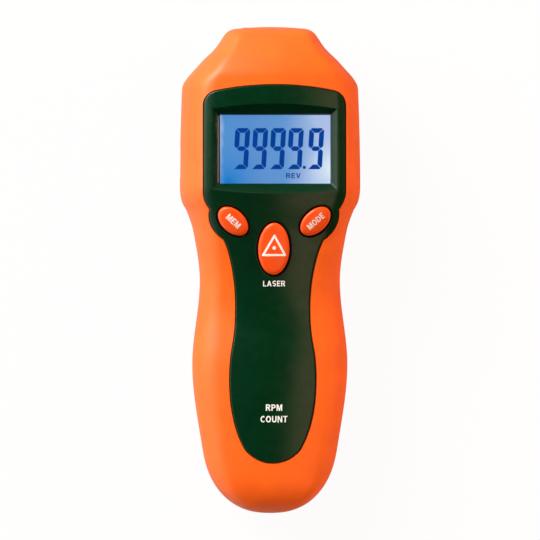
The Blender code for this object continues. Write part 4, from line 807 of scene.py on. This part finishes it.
# %% Give the panel its heights and walls
x, y = verts[:, 0], verts[:, 1]
near_recess = (np.abs(x) < DISPLAY_HALF_X + 6 * MM) & (np.abs(y - DISPLAY_Y) < DISPLAY_HALF_Y + 6 * MM)
bare = panel_crown(x, y)
sunk = soft_lower(bare, recess_planes(x, y), RIM_ROLL)
face_z = np.where(near_recess, sunk, bare)
for loop, roll in ((outer, EDGE_ROLL), (opening, OPENING_ROLL), *((hole, HOLE_ROLL) for hole in key_holes)):
    face_z -= edge_roll(distance_to(verts, loop), roll)
deep = 1.4 * MM
under_z = np.where(near_recess, np.maximum(sunk - deep, RECESS_LEVEL - RECESS_LIP), bare - deep)


def slab(name, verts, faces, top_z, low_z):
    """A closed solid from a flat triangulation with a height above and below."""
    used, faces = np.unique(faces, return_inverse=True)
    faces = faces.reshape(-1, 3)
    count = len(used)
    co = np.concatenate([np.column_stack([verts[used], z[used]]) for z in (top_z, low_z)])
    sides = sorted((b, a, a + count, b + count) for a, b in border(faces))
    mesh = bpy.data.meshes.new(name)
    mesh.from_pydata(co.tolist(), [], faces.tolist() + (faces[:, ::-1] + count).tolist() + sides)
    mesh.validate()
    shape = bmesh.new()
    shape.from_mesh(mesh)
    return mesh_from(shape, name, 40)


panel = slab("panel_face", verts, faces, face_z, under_z)
finished(panel, green, "case", "dark_green_plastic", "front_panel")

# %% [markdown]
# ## Display
# A transflective cell with a blue backlight: the light runs from mid blue at the left to pale blue at
# the right. The colour is a ramp along X that a broad noise makes uneven, under two round glows: a deep
# one at the lower left and a nearly white one at the lower right. It is given off as light.


# %% Display cell finish
def display_finish():
    material, tree, shader = shader_of("lit_display", (0.01, 0.02, 0.04), 0.22, Emission_Strength=1.0,
                                       Specular_IOR_Level=0.1)
    place = own_place(tree)
    split = add(tree, "ShaderNodeSeparateXYZ", place)
    along = add(tree, "ShaderNodeMapRange", Value=split.outputs["X"], From_Min=-DISPLAY_HALF_X,
                From_Max=DISPLAY_HALF_X)
    uneven = calc(tree, "MULTIPLY_ADD", noise(tree, place, 12 * MM, 2.0), 0.22, along.outputs["Result"])

    def glow(under, centre, radius, colour):
        """A round glow over the colour under it."""
        shift = add(tree, "ShaderNodeMapping", Vector=place, Scale=(1 / radius, 1 / radius, 0.0),
                    Location=(-centre[0] / radius, -centre[1] / radius, 0.0))
        ball = add(tree, "ShaderNodeTexGradient", Vector=shift.outputs["Vector"],
                   gradient_type="QUADRATIC_SPHERE")
        return add(tree, "ShaderNodeMix", data_type="RGBA", Factor=ball.outputs["Fac"], A=under,
                   B=(*colour, 1)).outputs["Result"]

    wash = ramp(tree, uneven, [
        (0.11, (0.38, 0.50, 0.78)), (0.15, (0.08, 0.28, 0.62)), (0.42, (0.10, 0.27, 0.60)),
        (0.68, (0.12, 0.30, 0.63)), (0.90, (0.30, 0.44, 0.72)), (1.0, (0.42, 0.53, 0.79))])
    deep = glow(wash, (-15 * MM, 29 * MM), 14 * MM, (0.0, 0.19, 0.58))
    wire(tree, shader, Emission_Color=glow(deep, (20.5 * MM, 33.5 * MM), 13 * MM, (0.85, 0.98, 1.0)))
    return material


def segment_finish():
    material, tree, shader = shader_of("segment_ink", (0.0, 0.02, 0.12), 0.3, Emission_Strength=1.0,
                                       Emission_Color=(0.0, 0.042, 0.27, 1), Specular_IOR_Level=0.1)
    wire(tree, shader, Base_Color=ramp(tree, noise(tree, own_place(tree), 1.5 * MM),
                                       [(0.3, (0.0, 0.009, 0.05)), (0.7, (0.0, 0.013, 0.07))]))
    return material


lit_display, segment_ink = display_finish(), segment_finish()
print("display finishes ready")

# %% [markdown]
# The reading is five seven-segment digits, each a nine of six lit segments. One digit is drawn once from
# its sizes, and a Geometry Nodes tree sets it on a point for each place and leans the row, as the glass
# of such a display does.

# %% One digit
DIGIT_WIDTH, DIGIT_HEIGHT, STROKE, SPLIT, CHAMFER = 4.9 * MM, 13.5 * MM, 1.6 * MM, 0.15 * MM, 0.8 * MM
INK_THICKNESS = 0.03 * MM


def nine():
    """Outlines of the six lit segments, with mitred ends and a thin split between them."""
    w, h, s, g, c = DIGIT_WIDTH, DIGIT_HEIGHT, STROKE, SPLIT, CHAMFER
    m = h / 2
    top = [(c, h), (w - c, h), (w - c / 2 - g / 2, h - c / 2 + g / 3), (w - s - g / 2, h - s + g / 3),
           (s + g / 2, h - s + g / 3), (c / 2 + g / 2, h - c / 2 + g / 3)]
    upper = [(w, h - c), (w, m + s / 2 + g / 2), (w - s / 2, m + g / 2), (w - s, m + s / 2 + g / 2),
             (w - s, h - s - g / 2), (w - c / 2, h - c / 2 - g / 2)]
    middle = [(s / 2 + g, m), (s + g / 2, m + s / 2 - g / 4), (w - s - g / 2, m + s / 2 - g / 4),
              (w - s / 2 - g, m), (w - s - g / 2, m - s / 2 + g / 4), (s + g / 2, m - s / 2 + g / 4)]
    lower = [(x, h - y) for x, y in upper]
    foot = [(0.25 * s, 0.0), (w - c, 0.0), (w - c / 2 - g / 2, c / 2 - g / 3),
            (w - s - g / 2, s - g / 3), (1.15 * s, s - g / 3)]
    left = [(w - x, y) for x, y in upper]
    return [top, upper, left, middle, lower, foot]


def drawn(name, shapes, thickness):
    """Flat outlines as one closed mesh with a small thickness."""
    shape = bmesh.new()
    for line in shapes:
        low, high = rings_of(shape, [[(x, y, z) for x, y in line] for z in (0, thickness)])
        shape.faces.new(high)
        shape.faces.new(low)
    return mesh_from(shape, name)


digit = drawn("digit", [[(x - DIGIT_WIDTH / 2, y - DIGIT_HEIGHT / 2) for x, y in line]
                        for line in nine()], INK_THICKNESS)
print("one digit:", len(digit.data.polygons), "faces")


# %% A tree that sets a piece on places
def placing_tree():
    """Named inputs: the piece, how far the row leans and about which line, and the finish."""
    tree = bpy.data.node_groups.new("set on places", "GeometryNodeTree")
    for name, kind in (("Places", "Geometry"), ("Piece", "Object"), ("Lean", "Float"),
                       ("Middle", "Float"), ("Finish", "Material")):
        tree.interface.new_socket(name, in_out="INPUT", socket_type="NodeSocket" + kind)
    tree.interface.new_socket("Result", in_out="OUTPUT", socket_type="NodeSocketGeometry")
    start = add(tree, "NodeGroupInput").outputs
    source = add(tree, "GeometryNodeObjectInfo", Object=start["Piece"])
    scatter = add(tree, "GeometryNodeInstanceOnPoints", Points=start["Places"],
                  Instance=source.outputs["Geometry"])
    realise = add(tree, "GeometryNodeRealizeInstances", scatter.outputs["Instances"])
    place = add(tree, "GeometryNodeInputPosition")
    parts = add(tree, "ShaderNodeSeparateXYZ", place.outputs["Position"])
    shift = calc(tree, "MULTIPLY", calc(tree, "SUBTRACT", parts.outputs["Y"], start["Middle"]),
                 start["Lean"])
    offset = add(tree, "ShaderNodeCombineXYZ", X=shift)
    lean = add(tree, "GeometryNodeSetPosition", Geometry=realise.outputs["Geometry"],
               Offset=offset.outputs["Vector"])
    colour = add(tree, "GeometryNodeSetMaterial", Geometry=lean.outputs["Geometry"],
                 Material=start["Finish"])
    add(tree, "NodeGroupOutput", Result=colour.outputs["Geometry"])
    return tree


PLACING = placing_tree()


def set_on(name, piece, places, finish, lean=0.0, middle=0.0):
    """Runs the tree over a list of places and keeps the result as a plain mesh."""
    mesh = bpy.data.meshes.new(name)
    mesh.from_pydata([tuple(p) for p in places], [], [])
    item = in_scene(name, mesh)
    step = item.modifiers.new("places", "NODES")
    step.node_group = PLACING
    values = {"Piece": piece, "Lean": lean, "Middle": middle, "Finish": finish}
    for socket in PLACING.interface.items_tree:
        if socket.name in values:
            step[socket.identifier] = values[socket.name]
    applied(item)
    bpy.data.objects.remove(piece)
    return item


INK_LEVEL = LCD_TOP + 0.02 * MM
places = [((x - 0.35) * MM, DISPLAY_Y + 0.15 * MM, INK_LEVEL) for x in (-10.3, -4.36, 1.53, 7.38, 14.1)]
digits = set_on("display_digits", digit, places, segment_ink, math.tan(math.radians(3.5)), DISPLAY_Y)
finished(smooth(digits), segment_ink, "case", "blue_display")

# %% [markdown]
# ## Lettering
# Only plain words of the trade stand on the meter: what a key does and the unit that is read. The
# letters are drawn here as a bold plain alphabet, one unit high. A letter is a few closed outlines that
# may overlap; what lies inside any of them is filled.

# %% Strokes of the letters
STEM, THIN = 0.19, 0.17


def strip(line, width=STEM):
    """The outline of a stroke of one width along a line."""
    line = np.array(line, float)
    run = np.gradient(line, axis=0)
    run /= np.linalg.norm(run, axis=1)[:, None]
    side = np.stack([-run[:, 1], run[:, 0]], 1) * width / 2
    return np.concatenate([line + side, (line - side)[::-1]])


def bend(centre, radii, start, end, steps=10):
    """Points on part of an ellipse."""
    angle = np.radians(np.linspace(start, end, steps + 1))
    return [(centre[0] + radii[0] * math.cos(a), centre[1] + radii[1] * math.sin(a)) for a in angle]


def bowl(left, low, high, reach):
    """The round part of D, P and R."""
    middle, tall = (low + high) / 2, (high - low) / 2
    centre = (reach - tall, middle)
    return ([(left, high)] + bend(centre, (tall, tall), 90, -90) + [(left, low), (left, low + THIN)]
            + bend(centre, (tall - STEM, tall - THIN), -90, 90) + [(left, high - THIN)])


BAR, ARM = rectangle(0, STEM, 0, 1), rectangle(0.1, 0.55, 0.42, 0.585)
FOOT, HEAD = rectangle(0.1, 0.60, 0, THIN), rectangle(0.1, 0.60, 0.83, 1)
LETTERS = {
    "A": (0.80, [[(0, 0), (0.2, 0), (0.50, 1), (0.30, 1)], [(0.6, 0), (0.8, 0), (0.50, 1), (0.30, 1)],
                 [(0.14, 0.2), (0.66, 0.2), (0.62, 0.36), (0.18, 0.36)]]),
    "C": (0.69, [strip(bend((0.39, 0.5), (0.30, 0.415), 48, 312, 24))]),
    "D": (0.74, [BAR, bowl(0.1, 0, 1, 0.74)]),
    "E": (0.60, [BAR, ARM, FOOT, HEAD]),
    "L": (0.56, [BAR, rectangle(0.1, 0.56, 0, THIN)]),
    "M": (0.88, [[(0, 0), (0.18, 0), (0.18, 0.68), (0.36, 0), (0.52, 0), (0.70, 0.68), (0.70, 0), (0.88, 0),
                  (0.88, 1), (0.62, 1), (0.44, 0.34), (0.26, 1), (0, 1)]]),
    "N": (0.74, [[(0, 0), (0.18, 0), (0.18, 0.68), (0.54, 0), (0.74, 0), (0.74, 1), (0.56, 1), (0.56, 0.32),
                  (0.20, 1), (0, 1)]]),
    "O": (0.80, [strip(bend((0.40, 0.5), (0.305, 0.415), a, a + 180, 18)) for a in (0, 180)]),
    "P": (0.66, [BAR, bowl(0.1, 0.38, 1, 0.66)]),
    "R": (0.72, [BAR, bowl(0.1, 0.42, 1, 0.68), [(0.28, 0.48), (0.52, 0), (0.74, 0), (0.50, 0.50)]]),
    "S": (0.66, [strip(bend((0.33, 0.7), (0.235, 0.215), 25, 270, 16)
                       + bend((0.33, 0.3), (0.235, 0.215), 90, -155, 16)[3:], 0.18)]),
    "T": (0.66, [rectangle(0.235, 0.425, 0, 0.9), rectangle(0, 0.66, 0.83, 1)]),
    "U": (0.72, [strip([(0.095, 1), (0.095, 0.7)] + bend((0.36, 0.36), (0.265, 0.275), 180, 360, 14)
                       + [(0.625, 0.7), (0.625, 1)])]),
    "V": (0.74, [[(0, 1), (0.2, 1), (0.37, 0.27), (0.54, 1), (0.74, 1), (0.47, 0), (0.27, 0)]]),
}
print("letters:", "".join(LETTERS))


# %% Print on a surface
PRINT, SUNK, LETTER_GAP = 0.05 * MM, 0.02 * MM, 0.15


def laid(name, flat, faces, surface, thickness=PRINT):
    """A flat triangulation laid on a surface with a small thickness."""
    level = surface(flat[:, 0], flat[:, 1]) + 0 * flat[:, 0]
    return slab(name, flat, faces, level + thickness, level - SUNK)


def word(name, text, height, at, turn, surface, material, slot, body, thickness=PRINT, stretch=1.0):
    """A word centred on a point, turned, and laid on a surface."""
    loops, pen = [], 0.0
    for letter in text:
        width, shapes = LETTERS[letter]
        loops += [np.array(shape, float) + (pen, 0) for shape in shapes]
        pen += width + LETTER_GAP
    cos, sin = math.cos(turn), math.sin(turn)
    placed = []
    for loop in loops:
        x = (loop[:, 0] - (pen - LETTER_GAP) / 2) * height * stretch
        y = (loop[:, 1] - 0.5) * height
        placed.append(np.stack([at[0] + x * cos - y * sin, at[1] + x * sin + y * cos], 1))
    finished(laid(name, *filled(placed), surface, thickness), material, body, slot)


# %% The unit and the point of the display
word("display_unit", "REV", 1.69 * MM, (6.4 * MM, 31.0 * MM), 0.0, lambda x, y: INK_LEVEL + 0.02 * MM,
     segment_ink, "blue_display", "case", INK_THICKNESS, 1.2)
point = round_rectangle(0.48 * MM, -0.48 * MM, 0.48 * MM, 0.2 * MM, 3) + (10.0 * MM, 33.7 * MM)
point = drawn("display_point", [point], INK_THICKNESS)
point.data.transform(Matrix.Translation((0, 0, INK_LEVEL)))
finished(point, segment_ink, "case", "blue_display")

# %% [markdown]
# ## Keys
# A key is a low dome on a straight skirt. Rings of an ellipse are set at the height of the case's front,
# so the key follows the crown of the face, and the dome rises by a quarter round at its edge and a long
# shallow curve to its middle.

# %% Key caps
KEY_EDGE, KEY_FLANGE, KEY_FLANGE_THICKNESS = 1.0 * MM, 1.0 * MM, 0.9 * MM
KEY_RISE = 0.4 * MM


def key_top(key):
    """Height of a key's top over a point, for its dome and for what is printed on it."""
    (cx, cy), half_long, half_short, turn = KEYS[key]

    def height(x, y):
        dx, dy = x - cx, y - cy
        along = (dx * math.cos(turn) + dy * math.sin(turn)) / half_long
        beside_it = (dy * math.cos(turn) - dx * math.sin(turn)) / half_short
        share = np.clip(np.hypot(along, beside_it), 0, 1)
        edge = np.clip((share - (1 - KEY_EDGE / half_short)) / (KEY_EDGE / half_short), 0, 1)
        fall = KEY_EDGE * (1 - np.sqrt(1 - edge ** 2))
        return front_skin(x, y) + KEY_PROUD + KEY_RISE * (1 - share ** 2) - fall

    return height


def key_cap(key):
    centre, _, half_short, _ = KEYS[key]
    top = key_top(key)
    flange = -WALL - CLEARANCE
    rings = []
    for grown, level in ((KEY_FLANGE, flange - KEY_FLANGE_THICKNESS), (KEY_FLANGE, flange),
                         (0.0, flange), (0.0, PANEL_PROUD)):
        rings.append([(x, y, float(front_skin(x, y)) + level) for x, y in key_outline(key, grown)])
    edge_share = KEY_EDGE / half_short
    shares = [1 - edge_share * (1 - math.sin(math.radians(a))) for a in (90, 78, 66, 54, 42, 30, 15, 0)]
    for share in shares + [0.66, 0.56, 0.45, 0.34, 0.23, 0.12, 0.05]:
        rings.append([(x, y, float(top(x, y))) for x, y in key_outline(key, share=share)])
    shape = bmesh.new()
    made = rings_of(shape, rings)
    shape.faces.new(made[0])
    shape.faces.new(made[-1])
    bmesh.ops.triangulate(shape, faces=[f for f in shape.faces if len(f.verts) > 4])
    item = mesh_from(shape, f"{key}_cap", 40)
    x, y = centre
    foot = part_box(f"{key}_key")[0].z
    stem = bar("stem", (x, y, foot), (x, y, float(front_skin(x, y)) + flange - 0.4 * MM), 1.5 * MM, 32)
    carve(item, "UNION", stem)
    finished(smooth(item, 40), key_orange, f"{key}_key_body", "orange_key", f"{key}_key")
    # Painted shade: the key's faces below the panel's face are given black plastic, standing for the shadow
    # in the narrow gap round the key.
    item.data.materials.append(black)
    for face in item.data.polygons:
        if face.center.z < float(panel_crown(face.center.x, face.center.y)) - 0.1 * MM:
            face.material_index = 1


for key in KEYS:
    key_cap(key)

# %% Key labels
for key, text, stretch in (("mem", "MEM", 1.0), ("mode", "MODE", 0.94)):
    centre, _, _, turn = KEYS[key]
    word(f"{key}_label", text, 2.0 * MM, centre, turn, key_top(key), ink, "orange_key",
         f"{key}_key_body", stretch=stretch)

# %% [markdown]
# A black border is printed round the display's lit area and hides the edge of the cell. A thin pale
# strip on it at the left end is a painted highlight, for light caught by the edge of the display window.

# %% Border of the display
mask_x, mask_y = DISPLAY_HALF_X + MM, DISPLAY_HALF_Y + MM
mask = filled([dense(rectangle(-mask_x, mask_x, DISPLAY_Y - mask_y, DISPLAY_Y + mask_y), 3 * MM)],
              [dense(rectangle(-17.75 * MM, 18.62 * MM, 28.4 * MM, 50.9 * MM), 3 * MM)])
finished(laid("display_border", *mask, lambda x, y: LCD_TOP + 0.02 * MM), black, "case", "blue_display")
# Painted highlight: a pale strip on the border at the left end stands for light caught by the edge of the
# display window.
highlight_strip = filled([dense(rectangle(-18.5 * MM, -18.2 * MM, 28.7 * MM, 50.7 * MM), 3 * MM)])
finished(laid("display_seal", *highlight_strip, lambda x, y: LCD_TOP + 0.1 * MM, 0.03 * MM), edge_highlight_paint, "case",
         "blue_display")

# %% [markdown]
# The laser key carries a plain triangle with a dot in it, as a mark for the beam.


# %% Mark on the laser key
def stroke_loop(points, width, steps=10):
    """A closed line of one width with round outer corners: its outer and inner outlines."""
    points = np.array(points)
    outer_line, inner_line = [], []
    for before, here, after in zip(np.roll(points, 1, axis=0), points, np.roll(points, -1, axis=0)):
        a, b = here - before, after - here
        a, b = a / np.linalg.norm(a), b / np.linalg.norm(b)
        start, end = math.atan2(-a[0], a[1]), math.atan2(-b[0], b[1])
        while end < start:
            end += 2 * math.pi
        for t in np.linspace(start, end, steps + 1):
            outer_line.append(here + width / 2 * np.array([math.cos(t), math.sin(t)]))
        inward = (b - a) / np.linalg.norm(b - a)
        sine = math.sqrt((1 - float(np.dot(-a, b))) / 2)
        inner_line.append(here + inward * width / 2 / max(sine, 0.2))
    return outer_line, inner_line


cx, cy = KEYS["laser"][0]
triangle = [(cx - 3.6 * MM, cy - 2.05 * MM), (cx + 3.6 * MM, cy - 2.05 * MM), (cx, cy + 4.3 * MM)]
dot = ellipse((cx, cy + 0.3 * MM), 0.62 * MM, 0.62 * MM, 0, 28)
for name, loops in (("laser_mark", stroke_loop(triangle, 0.72 * MM)), ("laser_dot", [dot])):
    around, *within = [dense(loop, 0.35 * MM) for loop in loops]
    finished(laid(name, *filled([around], within), key_top("laser")), ink, "laser_key_body",
             "orange_key")

# %% Words on the panel
for name, text, height, y in (("laser_word", "LASER", 1.85, -4.45), ("unit_word", "RPM", 2.1, -45.2),
                              ("count_word", "COUNT", 2.1, -49.0)):
    word(name, text, height * MM, (0.3 * MM, y * MM), 0.0, panel_crown, ink, "dark_green_plastic", "case")

# %% [markdown]
# ## Battery cover
# The cover is cut from the back of the same loft, 0.3 mm inside it, so it lies flush. Two hooks reach
# under the edge of the aperture, and thumb grooves cross its heel end. A Geometry Nodes tree sets one
# groove cutter on its places.

# %% Cover
cover = prism("door", round_rectangle(COVER_HALF, COVER_LOW, COVER_HIGH, COVER_CORNER), BELOW_ALL, BAY_TOP)
carve(cover, "INTERSECT", whole_loft("cover face", CLEARANCE))
carve(cover, "DIFFERENCE", whole_loft("cover underside", 2.3 * MM))
HOOK_X, HOOK_HALF = 8 * MM, 3 * MM
for x in (-HOOK_X, HOOK_X):
    for name, end, low, high in (("neck", -0.5, 1.8, 2.9), ("hook", 2.0, 2.7, 3.7)):
        carve(cover, "UNION", block(name, (x - HOOK_HALF, COVER_HIGH - 4 * MM, low * MM),
                                    (x + HOOK_HALF, COVER_HIGH + end * MM, high * MM)))
groove = bar("groove", (-5.5 * MM, 0, 0), (5.5 * MM, 0, 0), 1.0 * MM, 32)
grooves = set_on("grooves", groove, [(0, COVER_LOW + (5 + 2.2 * k) * MM, -0.2 * MM) for k in range(4)],
                 orange_back)
carve(cover, "DIFFERENCE", grooves)
finished(smooth(cover), orange_back, "cover", "orange_plastic", "battery_cover")

# %% [markdown]
# ## Screws
# A pan-head screw is turned from a profile and its cross recess is cut with two bars. One screw is made
# and the tree sets it on the five places that close the case.


# %% One screw, then five
def lathe(name, profile, sides=48):
    """A turned solid about Z from (radius, height) points."""
    shape = bmesh.new()
    rings = []
    for radius, height in profile:
        if radius < 1e-7:
            rings.append([shape.verts.new((0, 0, height))])
        else:
            rings.append([shape.verts.new((radius * math.cos(2 * math.pi * k / sides),
                                           radius * math.sin(2 * math.pi * k / sides), height))
                          for k in range(sides)])
    for a, b in zip(rings, rings[1:]):
        for k in range(sides):
            after = (k + 1) % sides
            ring_face = [a[k % len(a)], a[after % len(a)], b[after % len(b)], b[k % len(b)]]
            shape.faces.new(list(dict.fromkeys(ring_face)))
    return mesh_from(shape, name, 35)


under = SEAT_LEVEL - CLEARANCE
head = 1.7 * MM
profile = [(0, under + 12.3 * MM), (SCREW_RADIUS, under + 11.1 * MM), (SCREW_RADIUS, under),
           (HEAD_RADIUS, under), (HEAD_RADIUS, under - 0.9 * MM)]
profile += [(HEAD_RADIUS - 0.8 * MM * (1 - math.cos(a)), under - 0.9 * MM - 0.8 * MM * math.sin(a))
            for a in np.radians([20, 40, 60, 80, 90])]
profile += [(0, under - head)]
one_screw = lathe("screw", profile)
for long_x, long_y in ((1.5 * MM, 0.36 * MM), (0.36 * MM, 1.5 * MM)):
    carve(one_screw, "DIFFERENCE", block("cross", (-long_x, -long_y, under - head - MM),
                                         (long_x, long_y, under - head + 0.95 * MM)))
screws = set_on("case_screws", one_screw, [(x, y, 0) for x, y in CASE_SCREWS], steel)
finished(smooth(screws, 35), steel, "case", "steel", *[f"case_screw_{k}" for k in range(1, 6)])

# %% [markdown]
# ## Optics in the nose
# The laser barrel and the receiver's dark window sit side by side in the nose. Both are turned.


# %% Barrel and window
def turned_on_y(item, x, y, z):
    """Lays a piece turned about Z along the length of the case."""
    item.data.transform(Matrix.Translation((x, y, z)) @ Matrix.Rotation(-math.pi / 2, 4, "X"))
    return item


lens_radius = 0.62 * LASER_RADIUS
tube = lathe("laser_barrel", [
    (0, -1.5 * MM), (lens_radius, -1.5 * MM), (lens_radius, -0.25 * MM), (lens_radius + 0.25 * MM, 0),
    (LASER_RADIUS - 0.35 * MM, 0), (LASER_RADIUS - 0.1 * MM, -0.1 * MM), (LASER_RADIUS, -0.35 * MM),
    (LASER_RADIUS, -17.5 * MM), (0, -17.5 * MM)], 64)
finished(turned_on_y(tube, LASER_X, NOSE_Y - 0.25 * MM, PARTING), barrel, "case", "black_metal",
         "laser_module")
dark = lathe("sensor_cap", [
    (0, 2.8 * MM), (SENSOR_RADIUS - 0.4 * MM, 2.8 * MM), (SENSOR_RADIUS - 0.1 * MM, 2.7 * MM),
    (SENSOR_RADIUS, 2.4 * MM), (SENSOR_RADIUS, 0), (SENSOR_RADIUS + MM, 0),
    (SENSOR_RADIUS + MM, -MM), (0, -MM)], 64)
window_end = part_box("sensor_window")[1].y
finished(turned_on_y(dark, SENSOR_X, window_end - 2.8 * MM, PARTING), smoked, "case",
         "smoked_window", "sensor_window")

# %% [markdown]
# ## Pieces inside
# The display cell, its window and what is inside keep their CAD shape and get their finish here.

# %% Finishes of the pieces that keep their CAD shape
for material, names in (
        (lit_display, "lcd_glass"), (window_clear, "display_window"), (white, "lcd_backlight"),
        (rubber, "lcd_connector"), (solder_resist, "main_board"), (can_metal, "crystal"),
        (lens_glass, "laser_lens sensor_lens"), (smoked, "photo_detector"), (jacket, "battery"),
        (red_lead, "battery_lead_red"), (black_lead, "battery_lead_black"),
        (black, "lcd_frame controller_chip capacitor optics_holder battery_snap"),
        (black, "mem_switch mode_switch laser_switch"),
        (steel, "board_screw_1 board_screw_2 board_screw_3 board_screw_4")):
    for name in names.split():
        for slot in nodes[name].material_slots:
            slot.material = material
    print(names, "in", material.name)

# %% [markdown]
# ## Stage, light and camera
# The floor is white paper that keeps a faint shadow. A large soft lamp stands up and to the left and a
# strip beside it lights the left flank. A long card on the right gives the panel its soft sheen, and a
# warm lamp that makes no reflection fills the right flank.


# %% Floor
def paper():
    """White to the camera, darker towards the right in reflections, and clear from below."""
    material = bpy.data.materials.new("white_paper")
    material.use_nodes = True
    tree = material.node_tree
    tree.nodes.remove(tree.nodes["Principled BSDF"])
    rays = add(tree, "ShaderNodeLightPath").outputs
    apart = add(tree, "ShaderNodeSeparateXYZ", own_place(tree))
    side_light = add(tree, "ShaderNodeMapRange", Value=apart.outputs["X"], From_Min=-0.12,
                     From_Max=0.06, To_Min=-0.1, To_Max=-0.97)
    bright = calc(tree, "MULTIPLY_ADD", side_light.outputs["Result"], rays["Is Glossy Ray"], 1.0)
    seen = calc(tree, "MAXIMUM", calc(tree, "MAXIMUM", rays["Is Camera Ray"], rays["Is Glossy Ray"]),
                rays["Is Transmission Ray"])
    diffuse = add(tree, "ShaderNodeBsdfDiffuse", Color=(0.82, 0.82, 0.82, 1))
    shine = add(tree, "ShaderNodeEmission", Color=(1, 1, 1, 1), Strength=bright)
    sheet = add(tree, "ShaderNodeMixShader", calc(tree, "MULTIPLY", seen, 0.95), diffuse.outputs[0],
                shine.outputs[0])
    clear = add(tree, "ShaderNodeBsdfTransparent")
    below = add(tree, "ShaderNodeNewGeometry").outputs["Backfacing"]
    whole = add(tree, "ShaderNodeMixShader", below, sheet.outputs[0], clear.outputs[0])
    wire(tree, tree.nodes["Material Output"], whole.outputs[0])
    return material


floor_mesh = bpy.data.meshes.new("floor")
FLOOR_HALF, FLOOR_Z = 3.0, -0.05 * MM
floor_mesh.from_pydata([(x * FLOOR_HALF, y * FLOOR_HALF, FLOOR_Z)
                        for x, y in ((-1, -1), (1, -1), (1, 1), (-1, 1))], [], [(0, 1, 2, 3)])
floor_mesh.materials.append(paper())
floor = in_scene("floor", floor_mesh)
floor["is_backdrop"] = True


# %% World
def studio():
    """Light from the walls, less from the ceiling, and plain white behind the object."""
    world = bpy.data.worlds.new("studio")
    bpy.context.scene.world = world
    world.use_nodes = True
    tree = world.node_tree
    tree.nodes.clear()
    way = add(tree, "ShaderNodeTexCoord").outputs["Generated"]
    parts = add(tree, "ShaderNodeSeparateXYZ", way).outputs

    def along(axis, stops):
        whole = add(tree, "ShaderNodeMapRange", Value=parts[axis], From_Min=-1.0, From_Max=1.0)
        return ramp(tree, whole.outputs["Result"], stops)

    def greys(*stops):
        return [(at, (value, value, value)) for at, value in stops]

    colour = ramp(tree, parts["Z"], greys((0.0, 0.60), (0.45, 0.50), (0.85, 0.10), (1.0, 0.008)))
    across = along("X", [
        (0.0, (4.0, 3.8, 3.5)), (0.25, (1.9, 1.82, 1.68)), (0.45, (0.62, 0.60, 0.56)),
        (0.65, (0.40, 0.26, 0.15)), (1.0, (0.60, 0.26, 0.08))])
    for other in (across, along("Y", greys((0.0, 0.06), (0.5, 0.8), (1.0, 1.9)))):
        colour = add(tree, "ShaderNodeMix", data_type="RGBA", blend_type="MULTIPLY", Factor=1.0,
                     A=colour, B=other).outputs["Result"]
    light = add(tree, "ShaderNodeBackground", Color=colour, Strength=1.0)
    behind = add(tree, "ShaderNodeBackground", Color=(1, 1, 1, 1), Strength=1.0)
    seen = add(tree, "ShaderNodeLightPath").outputs["Is Camera Ray"]
    both = add(tree, "ShaderNodeMixShader", seen, light.outputs[0], behind.outputs[0])
    add(tree, "ShaderNodeOutputWorld", both.outputs[0])


studio()


def lamp(name, at, size, power, tint=(1, 1, 1), mirrored=True):
    """A soft rectangular lamp that faces the middle of the object."""
    light = bpy.data.lights.new(name, "AREA")
    light.shape, light.size, light.size_y = "RECTANGLE", size[0], size[1]
    light.energy = power
    light.color = tint
    item = in_scene(name, light)
    item.location = at
    item.visible_glossy = mirrored
    item.rotation_mode = "QUATERNION"
    item.rotation_quaternion = (Vector((0, 0, 0.02)) - Vector(at)).to_track_quat("-Z", "Y")
    print(name, "at", at)


lamp("key lamp", (-0.75, 0.80, 0.85), (0.6, 0.6), 16.0)
lamp("left strip", (-0.92, 0.62, 0.42), (0.9, 0.40), 7.0, (1.0, 0.96, 0.92))
lamp("right card", (0.42, -0.10, 0.90), (1.3, 0.34), 1.9, (1.0, 0.65, 0.42))
lamp("right edge", (0.95, -0.05, 0.42), (1.0, 0.35), 7.0, (1.0, 0.66, 0.30), mirrored=False)

# %% [markdown]
# ## Camera
# The photograph looks at the face from a little over four degrees to the left. A long lens from six
# metres keeps the sides almost parallel, and 540 pixels span 177.8 mm at the level of the parting line.

# %% Camera
VIEW_WIDTH, DISTANCE, YAW = 177.8 * MM, 6.0, math.radians(4.4)
camera = bpy.data.cameras.new("camera")
camera.sensor_width = 36
camera.lens = 36 * DISTANCE / VIEW_WIDTH
camera.clip_end = 20
eye = in_scene("camera", camera)
eye.location = (-math.sin(YAW) * DISTANCE, 0.0, PARTING + math.cos(YAW) * DISTANCE)
eye.rotation_euler = (0, -YAW, 0)
bpy.context.scene.camera = eye
bpy.context.scene.view_settings.view_transform = "Standard"
print("lens", round(camera.lens), "mm")

# %% Sizes and the end
low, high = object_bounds()
print("visual size:", [round(v * 1000, 1) for v in high - low], "mm")
